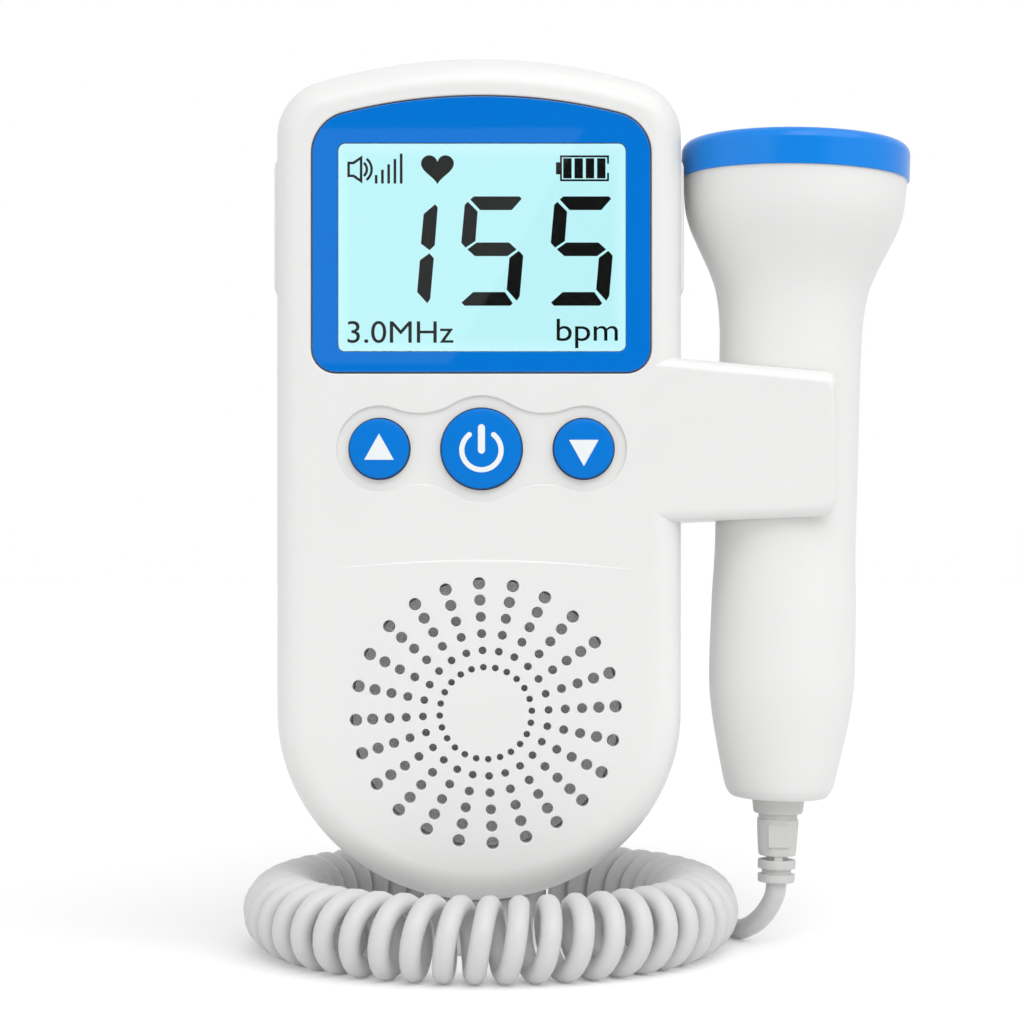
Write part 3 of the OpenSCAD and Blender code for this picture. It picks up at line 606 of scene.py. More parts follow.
def cord():
    path, first = cord_path()
    made = soften(tube("curly_cord", path, CORD_D / 2), 60, weighted=False)
    made.data.materials.append(JACKET)
    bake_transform(made)
    # the lead is beside the coil, so its shares grow along its length and not across one plane; they are not
    # applied to the mesh
    sides = len(made.data.vertices) // len(path)
    shares = [share for share in lead_shares(path, first) for _ in range(sides)]
    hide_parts("cord_tail", "cord_coil", "cord_lead")
    [p * MM for p in path]


cord()

# ---------------------------------------------------------------- housings
KEY_X, KEY_Z = [(a + b) / 2 for a, b in zip(*[(c.x, c.z) for c in node_box("power_button")])]
KEY_FLANGE = 1.1
key_sizes = {}
for key in KEYS:
    key_low, key_high = node_box(key)
    key_sizes[key] = ((key_low.x + key_high.x) / 2, (key_high.x - key_low.x) / 2 - KEY_FLANGE)
KEY_PITCH = key_sizes["down_button"][0] - key_sizes["power_button"][0]
KEY_MARGIN, KEY_RECESS, KEY_WAIST_R = 1.8, 0.5, 10.5
KEY_HOLE_GAP, KEY_CAP_GAP = 0.03, 0.1


def key_recess_outline(inset):
    """Peanut outline round the keys: three circles joined by hollow arcs that touch them."""
    big = key_sizes["power_button"][1] + KEY_MARGIN
    small = key_sizes["up_button"][1] + KEY_MARGIN
    hollow = KEY_WAIST_R
    x = ((big + hollow) ** 2 - (small + hollow) ** 2 + KEY_PITCH ** 2) / (2 * KEY_PITCH)
    z = math.sqrt((big + hollow) ** 2 - x ** 2)
    lean_big = math.degrees(math.atan2(z, x))
    lean_small = math.degrees(math.atan2(z, KEY_PITCH - x))
    quarter = (arc(KEY_PITCH, 0, small - inset, 0, 180 - lean_small, 20)
               + arc(x, z, hollow + inset, -lean_small, lean_big - 180, 16)[1:-1]
               + arc(0, 0, big - inset, lean_big, 90, 10))
    upper = quarter + [(-px, pz) for px, pz in reversed(quarter[:-1])]
    around = upper + [(px, -pz) for px, pz in reversed(upper[1:-1])]
    return [(KEY_X + px, KEY_Z + pz) for px, pz in around]


def grille_tree():
    """Rows of cutters that fan out from a centre and grow outwards, one for each perforation."""
    tree = bpy.data.node_groups.new("speaker_perforations", "GeometryNodeTree")
    wanted = {"Int": ["Rows", "Holes in row"], "Vector": ["Centre"], "Object": ["Cutter"],
              "Float": ["Inner radius", "Ring step", "Hole diameter", "Growth", "Turn"],
              "Material": ["Material"]}
    for kind, names in wanted.items():
        for name in names:
            tree.interface.new_socket(name, in_out="INPUT", socket_type="NodeSocket" + kind)
    tree.interface.new_socket("Geometry", in_out="OUTPUT", socket_type="NodeSocketGeometry")
    given = add_node(tree, "NodeGroupInput").outputs

    def maths(operation, a, b):
        return add_node(tree, "ShaderNodeMath", {0: a, 1: b}, operation=operation).outputs[0]

    index = add_node(tree, "GeometryNodeInputIndex").outputs[0]
    turns = maths("DIVIDE", index, given["Rows"])
    ring = maths("FLOOR", turns, 0)
    angle = maths("ADD", maths("MULTIPLY", turns, 2 * math.pi), given["Turn"])
    radius = maths("ADD", given["Inner radius"], maths("MULTIPLY", ring, given["Ring step"]))
    diameter = maths("ADD", given["Hole diameter"], maths("MULTIPLY", ring, given["Growth"]))
    offset = add_node(tree, "ShaderNodeCombineXYZ",
                      {"X": maths("MULTIPLY", radius, maths("COSINE", angle, 0)),
                       "Z": maths("MULTIPLY", radius, maths("SINE", angle, 0))})
    place = add_node(tree, "ShaderNodeVectorMath", {0: offset.outputs[0], 1: given["Centre"]},
                     operation="ADD")
    size = add_node(tree, "ShaderNodeCombineXYZ", {"X": diameter, "Y": 1.0, "Z": diameter})
    count = maths("MULTIPLY", given["Rows"], given["Holes in row"])
    points = add_node(tree, "GeometryNodePoints", {"Count": count, "Position": place.outputs[0]})
    item = add_node(tree, "GeometryNodeObjectInfo", {"Object": given["Cutter"]})
    copies = add_node(tree, "GeometryNodeInstanceOnPoints",
                      {"Points": points.outputs[0], "Instance": item.outputs["Geometry"],
                       "Scale": size.outputs[0]})
    real = add_node(tree, "GeometryNodeRealizeInstances", {"Geometry": copies.outputs[0]})
    dressed = add_node(tree, "GeometryNodeSetMaterial",
                       {"Geometry": real.outputs[0], "Material": given["Material"]})
    add_node(tree, "NodeGroupOutput", {"Geometry": dressed.outputs[0]})
    return tree


def grown(name, tree, values):
    """The plain mesh that a geometry tree makes from values for its named inputs."""
    made = piece(name, [], [])
    step = made.modifiers.new("Growth", "NODES")
    step.node_group = tree
    for socket in tree.interface.items_tree:
        if socket.name in values:
            step[socket.identifier] = values[socket.name]
    bake(made)
    return made


GRILLE = {"Rows": 24, "Holes in row": 6, "Inner radius": 7.2 * MM, "Ring step": 2.62 * MM,
          "Hole diameter": 1.05, "Growth": 0.18, "Turn": math.radians(3),
          "Centre": (SPEAKER_X * MM, FRONT_Y * MM, SPEAKER_Z * MM)}


def perforations():
    """Cutters of the speaker's holes, with a small rounded mouth each."""
    mouth, deep = 0.1, WALL + 0.8
    rim = [(0.5 + growth, height) for height, growth in lip(mouth)]
    profile = [(0, -deep), (0.5, -deep)] + rim + [(0.5 + mouth, 1), (0, 1)]
    item = lathe("perforation", profile, along_y(0, 0, 0), steps=16)
    made = grown("perforations", grille_tree(), GRILLE | {"Cutter": item, "Material": WHITE})
    bpy.data.objects.remove(item)
    return made


def half_shell(name, side):
    """One half of the housing: a wall round the cavity, with a small groove where the halves meet."""
    face_y = FRONT_Y if side == FRONT else BACK_Y
    groove = 0.25
    outer = plate(name, unit_outline,
                  [(0, groove), (side * groove, 0)] + round_over(face_y, side, EDGE_R, 12))
    core_r = EDGE_R - WALL
    core = plate("core", lambda inset: unit_outline(inset + WALL),
                 [(-side * 1, 0)] + round_over(face_y - side * WALL, side, core_r, 6))
    return combine(outer, "DIFFERENCE", core)


GLAND_R = 6
SCREW_PLACES = [(side * x, z) for x, z in [(HALF_W - 5, CROWN_Z - 15), (HALF_W - 12.4, RIDE_Z + 12.3)]
                for side in (-1, 1)]
COLUMN_R = 2.6


def bar(outline, y0, y1):
    return plate("bar", outline, [(y0, 0), (y1, 0)])


def across_x(outline, x0, x1):
    """A bar along X, from an outline in (y, z)."""
    return plate("bar", outline, [(x0, 0), (x1, 0)], upright=lambda u, v, w: (v, u, w))


JACK_R, JACK_Z = 3, (socket_low.z + socket_high.z) / 2


def gland_and_jack_cuts():
    """Cuts that both halves share: the cable gland in the bottom and the earphone socket at the side."""
    gland = lathe("gland", [(0, RIDE_Z - 1), (GLAND_R + FIT, RIDE_Z - 1), (GLAND_R + FIT, RIDE_Z + WALL + 3),
                            (0, RIDE_Z + WALL + 3)])
    jack = across_x(circle(0, JACK_Z, JACK_R + FIT), -HALF_W - 1, -HALF_W + WALL + 1)
    return [gland, jack]


def grip_seats():
    """Cuts in both sides that the raised grips sit in."""
    outline = rounded((grip_low.y - FIT, grip_low.z - FIT), (grip_high.y + FIT, grip_high.z + FIT), 1.2)
    return [across_x(outline, side * grip_low.x, side * (HALF_W + 1)) for side in (-1, 1)]


def crease():
    """Cutter of the fine line over the speaker: a long slope down to a short bright flank. It fades out."""
    r, top_z, reach, slope, deep, over, steps = 188.7, 63, 27, 9, 0.36, 0.05, 48
    rings = []
    for i in range(steps + 1):
        t = 2 * i / steps - 1
        turn = math.radians(90) - t * math.asin(reach / r)
        low = deep * (1 - t * t) - over / 2
        section = [(r + slope * (low + over), -over), (r, low), (r - (low + over), -over)]
        rings.append([(q * math.cos(turn), FRONT_Y + y, top_z - r + q * math.sin(turn)) for q, y in section])
    return skin("crease", rings)


def front_housing():
    made = half_shell("front_housing", FRONT)
    grid = [5.3 * i for i in range(-4, 5)]
    score(made, 0, [SPEAKER_X + step for step in grid])
    score(made, 2, [SPEAKER_Z + step for step in grid])
    columns = [bar(circle(x, z, COLUMN_R, 32), FRONT_Y + WALL / 2, -0.3) for x, z in SCREW_PLACES]
    inner_r = (speaker_high.x - speaker_low.x) / 2 + FIT
    outer_r, low, high = inner_r + 1, WALL / 2, WALL + 3.2
    inward = Matrix.Translation((SPEAKER_X, FRONT_Y, SPEAKER_Z)) @ Matrix.Rotation(-math.pi / 2, 4, "X")
    collar = lathe("collar", [(inner_r, low), (outer_r, low), (outer_r, high), (inner_r, high)], inward,
                   closed=True)
    combine(made, "UNION", join("columns", columns), collar)
    lens_pocket = cutter(lambda inset: lens_outline(inset - FIT), lens_high.y, r=0.3)
    key_pocket = cutter(key_recess_outline, FRONT_Y + KEY_RECESS, r=0.25)
    pockets = [lens_pocket, key_pocket] + grip_seats() + gland_and_jack_cuts()
    combine(made, "DIFFERENCE", join("pockets", pockets))
    ledge = 0.4
    window = bar(rounded((window_low.x - ledge, window_low.z - ledge),
                         (window_high.x + ledge, window_high.z + ledge), 1.5), FRONT_Y, FRONT_Y + WALL + 1)
    holes = [bar(circle(x, KEY_Z, r + KEY_HOLE_GAP, 96), FRONT_Y - 1, FRONT_Y + WALL + 1)
             for x, r in key_sizes.values()]
    combine(made, "DIFFERENCE", join("openings", [window] + holes + [crease()]), perforations())
    finish(soften(made), WHITE, "root", "white_housing", "front_housing")


SCREW_HEAD_R, SCREW_SEAT_Y = 1.9, BACK_Y - 6
PIN_L, PIN_R = 1.1, 0.55
HALF_COVER = cover_high.x - PIN_L
COVER_T = cover_high.y - cover_low.y
PIN_Y, PIN_Z = cover_high.y - COVER_T / 2, cover_low.z + COVER_T / 2


def rear_housing():
    made = half_shell("rear_housing", BACK)
    cell_low, cell_high = node_box("battery_cell_left")[0], node_box("battery_cell_right")[1]
    contact_low, contact_high = node_box("battery_contacts")
    tray_y = cell_low.y - RUN
    ledge_y = cover_low.y - RUN
    bay_x = (cell_high.x - cell_low.x) / 2 + 0.5
    bay = rounded((-bay_x, contact_low.z), (bay_x, contact_high.z), 1)
    frame_edge, frame_t, tray_wall, tray_t = 1.9, 1.6, 1.4, 1
    tray = rounded((-bay_x - tray_wall, contact_low.z - tray_wall),
                   (bay_x + tray_wall, contact_high.z + tray_wall), 2)
    cover_half, cover_z, cover_top = HALF_COVER, cover_low.z, cover_high.z
    surround = rounded((-cover_half - frame_edge, cover_z - frame_edge),
                       (cover_half + frame_edge, cover_top + frame_edge), 2)
    columns = [bar(circle(x, z, COLUMN_R, 32), 0.3, BACK_Y - WALL / 2) for x, z in SCREW_PLACES]
    combine(made, "UNION", join("columns", columns), bar(tray, tray_y - tray_t, BACK_Y - WALL / 2),
            bar(surround, ledge_y - frame_t, BACK_Y - WALL / 2))
    recess = cutter(rounded((-cover_half - RUN, cover_z - RUN), (cover_half + RUN, cover_top + RUN), 1.2),
                    ledge_y, BACK, r=0.25)
    counterbores = [cutter(circle(x, z, SCREW_HEAD_R + FIT, 32), SCREW_SEAT_Y, BACK, r=0.25)
                    for x, z in SCREW_PLACES]
    notch = cutter(circle(0, cover_top + 1, 6), BACK_Y - 1, BACK, r=0.3)
    combine(made, "DIFFERENCE", join("recesses", [recess] + counterbores + gland_and_jack_cuts()), notch,
            bar(bay, tray_y, BACK_Y + 1))
    pins = across_x(circle(PIN_Y, PIN_Z, PIN_R + FIT, 24), cover_low.x - RUN, cover_high.x + RUN)
    combine(made, "DIFFERENCE", pins)
    finish(soften(made), WHITE, "root", "white_housing", "rear_housing")


def battery_cover():
    """The cover with its round lower edge on two pins, and thumb grooves at its upper end."""
    outline = rounded((-HALF_COVER, PIN_Z), (HALF_COVER, cover_high.z), 0.9)
    made = plate("battery_cover", outline,
                 [(cover_low.y, 0)] + round_over(cover_high.y, BACK, 0.3, 4))
    barrel = across_x(circle(PIN_Y, PIN_Z, COVER_T / 2, 32), -HALF_COVER, HALF_COVER)
    pins = across_x(circle(PIN_Y, PIN_Z, PIN_R, 24), cover_low.x, cover_high.x)
    combine(made, "UNION", barrel, pins)
    grooves = [cutter(rounded((-9, cover_high.z - 12 + 2.4 * i), (9, cover_high.z - 11 + 2.4 * i), 0.45),
                      BACK_Y - 0.5, BACK, r=0.2) for i in range(4)]
    combine(made, "DIFFERENCE", join("grooves", grooves))
    finish(soften(made), WHITE, "battery_door", "white_housing", "battery_cover")


CLIP_Z, CLIP_H, CLIP_TIP_H = 68.7, 26.3, 22.7
CLIP_TIP_X = node_box("probe_clip")[1].x
CLIP_ROOT_X = HALF_W - EDGE_R


def clip_outline(inset):
    """Side arms seen from the front: they narrow to a rounded tip, mostly from the top."""
    drop, rise = (CLIP_H - CLIP_TIP_H) * 0.7, (CLIP_H - CLIP_TIP_H) * 0.3
    upper_r, lower_r = 1.5, 2.2
    tip, top, low = CLIP_TIP_X - inset / 2, CLIP_Z + CLIP_H - inset, CLIP_Z + inset
    return ([(CLIP_ROOT_X, top), (CLIP_ROOT_X, low)]
            + arc(tip - lower_r, low + rise + lower_r, lower_r, 272, 360, 10)
            + arc(tip - upper_r, top - drop - upper_r, upper_r, 0, 84, 8))


def probe_clip():
    edge = 2
    made = plate("probe_clip", clip_outline,
                 list(reversed(round_over(FRONT_Y, FRONT, edge, 6))) + round_over(BACK_Y, BACK, edge, 6))
    reach, past = NECK_R + RUN, 5
    channel = arc(0, 0, reach, 90, 270, 48) + [(40, -reach), (40, reach)]
    rings = [[PROBE_PLACE @ Vector((x, y, h)) for x, y in channel]
             for h in (CLIP_Z - past, CLIP_Z + CLIP_H + past)]
    body = plate("body", lambda inset: unit_outline(inset + 0.5),
                 [(y - FRONT * 0.5, inset) for y, inset in reversed(round_over(FRONT_Y, FRONT, EDGE_R, 12))]
                 + [(y - BACK * 0.5, inset) for y, inset in round_over(BACK_Y, BACK, EDGE_R, 12)])
    combine(made, "DIFFERENCE", skin("channel", rings), body)
    finish(soften(made), WHITE, "root", "white_housing", "probe_clip")


def side_grips():
    """Raised pads on both sides, with sloped ends."""
    outline = rounded((grip_low.y, grip_low.z), (grip_high.y, grip_high.z), 1.1)
    proud = grip_high.x - HALF_W
    for name, side in (("side_grip_right", 1), ("side_grip_left", -1)):
        def upright(u, v, w, side=side):
            # the ends slope down towards the housing over 2.4 mm
            end = min(w - grip_low.z, grip_high.z - w)
            height = min(1, 0.25 + end / 3.2)
            return (side * (min(v, HALF_W) + max(v - HALF_W, 0) * height), u, w)
        levels = [(grip_low.x, 0), (HALF_W, 0), (HALF_W + proud * 0.55, 0.05), (HALF_W + proud * 0.9, 0.3),
                  (HALF_W + proud, 0.8)]
        made = plate(name, outline, levels, upright)
        finish(soften(made, 50), WHITE, "root", "white_housing", name)


front_housing()
rear_housing()
battery_cover()
probe_clip()
side_grips()


# ---------------------------------------------------------------- lens, window and display
def lens_panel():
    made = plate("lens_panel", lens_outline,
                 [(lens_high.y, 0)] + round_over(lens_low.y, FRONT, 0.22, 4))
    gap = 0.05
    opening = rounded((window_low.x - gap, window_low.z - gap),
                      (window_high.x + gap, window_high.z + gap), 1.1)
    combine(made, "DIFFERENCE", cutter(opening, lens_high.y + 1, r=0.12))
    finish(soften(made), LENS_BLUE, "root", "blue_lens", "lens_panel")


def display_window():
    outline = rounded((window_low.x, window_low.z), (window_high.x, window_high.z), 1.05)
    made = plate("display_window", outline, [(window_high.y, 0)] + round_over(window_low.y, FRONT, 0.1, 2))
    finish(soften(made), CLEAR, "root", "clear_window", "display_window")


lens_panel()
display_window()

INK_T = 0.06


def stand_up(name, curve, y):
    """The mesh of a flat curve or text, turned to face the front at y."""
    flat = bpy.data.objects.new(name, curve)
    bpy.context.scene.collection.objects.link(flat)
    bpy.context.view_layer.update()
    mesh = bpy.data.meshes.new_from_object(flat.evaluated_get(bpy.context.evaluated_depsgraph_get()))
    mesh.transform(Matrix.Translation((0, y * MM, 0)) @ Matrix.Rotation(math.radians(90), 4, "X"))
    bpy.data.objects.remove(flat)
    made = bpy.data.objects.new(name, mesh)
    bpy.context.scene.collection.objects.link(made)
    return made


def flat_shape(name, loops, y, thickness=INK_T):
    """A thin plate from closed loops of (x, z), on the face at y. A loop inside another is a hole."""
    curve = bpy.data.curves.new(name, "CURVE")
    curve.dimensions = "2D"
    curve.fill_mode = "BOTH"
    curve.extrude = thickness / 2 * MM
    for loop in loops:
        line = curve.splines.new("POLY")
        line.points.add(len(loop) - 1)
        for point, (x, z) in zip(line.points, loop):
            point.co = (x * MM, z * MM, 0, 1)
        line.use_cyclic_u = True
    return stand_up(name, curve, y - thickness / 2)


DIGIT_H, DIGIT_LEAN, DIGIT_PITCH = 17.14, 0.085, 14.03
DIGITS_X, DIGITS_Z = 11.27, 102.8


def digit_segments():
    """The seven segments of a digit, upright, as loops of (x, z) from the digit's lower left corner."""
    width = 8.2
    top = [(0, 16.65), (0.52, 17.14), (7.68, 17.14), (8.05, 16.76), (6.66, 15), (1.68, 15)]
    left = [(-0.35, 16.3), (1.32, 14.76), (1.36, 10.13), (-0.1, 9.1), (-0.84, 9.87), (-0.8, 15.8)]
    middle = [(0.2, 8.83), (1.58, 9.91), (6.65, 9.91), (7.95, 8.83), (6.61, 7.78), (1.48, 7.78)]
    right = [(8.3, 8.61), (9.06, 7.84), (9.05, 1.5), (8.64, 0.77), (6.9, 2.53), (6.91, 7.51)]
    return {
        "top": top, "middle": middle, "upper_left": left,
        "upper_right": [(width - x, z) for x, z in left],
        "lower_left": [(width - x, z) for x, z in right],
        "lower_right": right,
        "bottom": [(x, DIGIT_H - z) for x, z in top],
    }


FIVE = ["top", "upper_left", "middle", "lower_right", "bottom"]
ONE = ["upper_right", "lower_right"]


def digit_loops(place, lit, drop=0):
    """Loops of the lit segments of one digit. Place 0 is the rightmost."""
    shapes = digit_segments()
    left = DIGITS_X - DIGIT_PITCH * place
    return [[(left + x + DIGIT_LEAN * z, DIGITS_Z - drop + z) for x, z in shapes[name]] for name in lit]


def heart_loop(left, right, low, high):
    """A heart between two sides, from two round lobes and a point."""
    width, height = right - left, high - low
    made = []
    for i in range(64):
        t = 2 * math.pi * i / 64
        x = 16 * math.sin(t) ** 3
        z = 13 * math.cos(t) - 5 * math.cos(2 * t) - 2 * math.cos(3 * t) - math.cos(4 * t)
        made.append((left + width * (x + 16) / 32, low + height * (z + 17) / 29))
    return made


def thick_arc(x, z, r, start, end, stroke, steps=12):
    """Loop of a round stroke, with flat ends."""
    return arc(x, z, r + stroke / 2, start, end, steps) + arc(x, z, r - stroke / 2, end, start, steps)


def box_loop(x0, z0, x1, z1):
    return [(x0, z0), (x1, z0), (x1, z1), (x0, z1)]


def speaker_icon_loops():
    """Loudspeaker outline with two sound waves."""
    x0, x1, x2, low, high = -20.62, -19.74, -18.26, 121.96, 126.39
    mid, half, stroke = (low + high) / 2, 1.21, 0.4
    outer = [(x0, mid - half), (x1, mid - half), (x2, low), (x2, high), (x1, mid + half), (x0, mid + half)]
    inner = [(x0 + stroke, mid - half + stroke), (x1 + stroke * 0.4, mid - half + stroke),
             (x2 - stroke, low + stroke * 1.9), (x2 - stroke, high - stroke * 1.9),
             (x1 + stroke * 0.4, mid + half - stroke), (x0 + stroke, mid + half - stroke)]
    waves = [thick_arc(x2 - 0.65, mid, r, -reach, reach, stroke) for r, reach in ((1.35, 50), (2.1, 52))]
    return [outer, inner] + waves


def signal_loops():
    """Five bars of signal strength."""
    first_x, step, width, low, first_h, growth = -16.1, 0.98, 0.42, 121.96, 1.33, 0.84
    bars = [(first_x + step * i, low + first_h + growth * i) for i in range(5)]
    return [box_loop(x - width / 2, low, x + width / 2, high) for x, high in bars]


def battery_loops():
    """Full battery: outline that is open at the right, nub at the left and four bars."""
    x0, x1, low, high, stroke, opening = 12.73, 20.41, 122.32, 126.37, 0.3, 1.3
    nub = box_loop(x0 - 0.64, low + 1.08, x0, high - 1.08)
    outline = [(x1, high - opening), (x1, high), (x0, high), (x0, low), (x1, low), (x1, low + opening)]
    for x, z in reversed(outline):
        outline.append((x + (stroke if x == x0 else -stroke), min(max(z, low + stroke), high - stroke)))
    first_x, step, width, gap = 13.23, 1.77, 1.32, 0.45
    sides = [first_x + step * i for i in range(4)]
    return [nub, outline] + [box_loop(x, low + gap, x + width, high - gap) for x in sides]


def text_shape(name, body, low, high, y):
    """Plain lettering that fills the room between two (x, z) corners."""
    curve = bpy.data.curves.new(name, "FONT")
    curve.body = body
    curve.extrude = INK_T / 2 * MM
    curve.size = 5 * MM
    made = stand_up(name, curve, y - INK_T / 2)
    xs = [v.co.x for v in made.data.vertices]
    zs = [v.co.z for v in made.data.vertices]
    across = (high[0] - low[0]) * MM / (max(xs) - min(xs))
    tall = (high[1] - low[1]) * MM / (max(zs) - min(zs))
    for v in made.data.vertices:
        v.co.x = low[0] * MM + (v.co.x - min(xs)) * across
        v.co.z = low[1] * MM + (v.co.z - min(zs)) * tall
    return made


def display_art():
    """What the display shows: digits, units and symbols, on the front of its glass."""
    y = glass_low.y
    loops = digit_loops(0, FIVE) + digit_loops(1, FIVE) + digit_loops(2, ONE, drop=0.39)
    shapes = {
        "display_digits": flat_shape("display_digits", loops, y),
        "display_heart": flat_shape("display_heart", [heart_loop(-9.07, -3.92, 121.75, 126.4)], y),
        "display_speaker": flat_shape("display_speaker", speaker_icon_loops(), y),
        "display_signal": flat_shape("display_signal", signal_loops(), y),
        "display_battery": flat_shape("display_battery", battery_loops(), y),
        "display_frequency": text_shape("display_frequency", "3.0MHz", (-20.6, 96.95), (-4, 100.4), y),
        "display_unit": text_shape("display_unit", "bpm", (12.2, 96.15), (21.8, 100.75), y),
    }
    for made in shapes.values():
        finish(made, SEGMENT, "root", "display_glass")


display_art()

# ---------------------------------------------------------------- keys
KEY_TOP_Y = node_box("power_button")[0].y
KEY_DOME = 0.25


def key_height(distance, r):
    """How far the key's face lies behind its highest point."""
    return KEY_DOME * (distance / r) ** 2


def key_piece(node, body):
    """A key: domed cap with a rounded rim, and a flange behind the housing."""
    x, flange_r = key_sizes[node][0], key_sizes[node][1] + KEY_FLANGE
    r = key_sizes[node][1] - KEY_CAP_GAP
    back = node_box(node)[1].y
    face = [(r * i / 12, -key_height(r * i / 12, r)) for i in range(11)]
    rim_r, rim_low = 0.45, key_height(r * 10 / 12, r)
    rim = [(r - rim_r * (1 - math.sin(a)), -rim_low - 0.05 - rim_r * (1 - math.cos(a)))
           for a in [math.radians(15 * i) for i in range(1, 7)]]
    deep = back - KEY_TOP_Y
    under = FRONT_Y + WALL + RUN - KEY_TOP_Y
    profile = face + rim + [(r, -under), (flange_r, -under), (flange_r, -under - 0.8),
                            (2, -under - 0.8), (2, -deep), (0, -deep)]
    made = lathe(node, profile, along_y(x, KEY_TOP_Y, KEY_Z), steps=128)
    finish(soften(made, 40), BLUE, body, "blue_plastic", node)


def key_print(name, node, loops):
    """White print on a key's domed face, drawn from loops round the key's centre."""
    x, r = key_sizes[node]
    made = flat_shape(name, [[(x + px, KEY_Z + pz) for px, pz in loop] for loop in loops], 0, 0.05)
    shape = bmesh.new()
    shape.from_mesh(made.data)
    bmesh.ops.triangulate(shape, faces=shape.faces)
    for _ in range(3):
        long_edges = [e for e in shape.edges if e.calc_length() > 0.5 * MM]
        bmesh.ops.subdivide_edges(shape, edges=long_edges, cuts=1)
        bmesh.ops.triangulate(shape, faces=shape.faces)
    for v in shape.verts:
        distance = math.hypot(v.co.x / MM - x, v.co.z / MM - KEY_Z)
        v.co.y += (KEY_TOP_Y + key_height(distance, r) + 0.02) * MM
    shape.to_mesh(made.data)
    shape.free()
    finish(soften(made, 40, weighted=False), INK, KEYS[node], "white_housing")


def power_loops():
    """Power symbol: an open ring with round ends, and a bar."""
    r, stroke, gap, mid = 3.06, 0.8, 38, -0.25
    outer = arc(0, mid, r + stroke / 2, 90 + gap, 450 - gap, 48)
    inner = arc(0, mid, r - stroke / 2, 450 - gap, 90 + gap, 48)
    ends = []
    for angle, start in ((450 - gap, 450 - gap), (90 + gap, 270 + gap)):
        turn = math.radians(angle)
        x, z = r * math.cos(turn), mid + r * math.sin(turn)
        ends.append(arc(x, z, stroke / 2, start, start + 180, 8)[1:-1])
    ring = outer + ends[0] + inner + ends[1]
    half, low, high = 0.55, -0.8, 3.8
    bar_loop = arc(0, high - half, half, 0, 180, 10) + arc(0, low + half, half, 180, 360, 10)
    return [ring, bar_loop]


for key, key_body in KEYS.items():
    key_piece(key, key_body)
ARROW_HALF, ARROW_H, UP_Z, DOWN_Z = 2.3, 4.1, -1.75, 1.35
key_print("up_symbol", "up_button", [[(-ARROW_HALF, UP_Z), (ARROW_HALF, UP_Z), (0, ARROW_H + UP_Z)]])
key_print("down_symbol", "down_button",
          [[(-ARROW_HALF, DOWN_Z), (0, DOWN_Z - ARROW_H), (ARROW_HALF, DOWN_Z)]])
key_print("power_symbol", "power_button", power_loops())


# ---------------------------------------------------------------- small fittings
def earphone_socket():
    """Round nose in the housing's side, with its bore, on the socket's body."""
    bore_r = 1.8
    nose = plate("earphone_socket", circle(0, JACK_Z, JACK_R, 48),
                 [(-HALF_W + WALL + 0.5, 0), (-HALF_W, 0), (socket_low.x + 0.1, 0), (socket_low.x, 0.2)],
                 upright=lambda u, v, w: (v, u, w))
    body = across_x(rounded((-4.4, socket_low.z), (socket_high.y, socket_high.z), 0.5), -HALF_W + WALL,
                    socket_high.x)
    bore = across_x(circle(0, JACK_Z, bore_r, 40), socket_low.x - 1, socket_low.x + 14)
    combine(nose, "UNION", body)
    combine(nose, "DIFFERENCE", bore)
    finish(soften(nose), NYLON, "root", "grey_socket", "earphone_socket")


def housing_screws():
    """Four pan-head screws with cross recesses, in the counterbores of the rear housing."""
    made = []
    for x, z in SCREW_PLACES:
        profile = [(0, 0), (0.85, 0), (0.85, SCREW_SEAT_Y + 5), (SCREW_HEAD_R, SCREW_SEAT_Y + 5),
                   (SCREW_HEAD_R, SCREW_SEAT_Y + 5.9), (SCREW_HEAD_R - 0.3, SCREW_SEAT_Y + 6.25),
                   (SCREW_HEAD_R - 0.9, SCREW_SEAT_Y + 6.4), (0, SCREW_SEAT_Y + 6.4)]
        place = Matrix.Translation((x, -5, z)) @ Matrix.Rotation(math.radians(-90), 4, "X")
        screw = lathe("screw", profile, place, steps=32)
        slots = [bar(rounded((x - w, z - h), (x + w, z + h), 0.2), SCREW_SEAT_Y + 0.5, SCREW_SEAT_Y + 3)
                 for w, h in ((1.2, 0.25), (0.25, 1.2))]
        made.append(combine(screw, "DIFFERENCE", *slots))
    finish(soften(join("housing_screws", made)), STEEL, "root", "plated_steel", "housing_screws")


def cable_boot():
    """Boot under the unit: gland, foot and a ribbed sleeve towards the ring of curls."""
    foot_top = RIDE_Z - RUN
    flange_z = RIDE_Z + WALL + 1.2
    profile = [(0, 0), (8, 0), (8.35, 0.15), (8.6, 0.6), (8.6, foot_top - 2), (8.45, foot_top - 1),
               (8.1, foot_top - 0.3), (7.6, foot_top), (GLAND_R, foot_top), (GLAND_R, flange_z),
               (GLAND_R + 1.5, flange_z), (GLAND_R + 1.5, flange_z + 1.4), (0, flange_z + 1.4)]
    made = lathe("cable_boot", profile)
    sleeve_r = 2.9
    ribs = [(0, 0), (sleeve_r, 0), (sleeve_r, 12.4)]
    for i in range(3):
        z, r = 12.5 + 2.3 * i, 2.85 - 0.15 * i
        ribs += [(2.3, z), (2.3, z + 0.8), (r, z + 0.95), (r - 0.1, z + 2.2)]
    ribs += [(2.2, 19.4), (0, 19.4)]
    place = Matrix.Translation((RING_X, 0, 3)) @ Matrix.Rotation(math.radians(90 + GAP), 4, "Z") \
        @ Matrix.Rotation(math.radians(90), 4, "Y")
    combine(made, "UNION", lathe("sleeve", ribs, place, steps=48))
    finish(soften(made), RELIEF, "root", "light_grey_cord", "cable_boot")


earphone_socket()
housing_screws()
cable_boot()


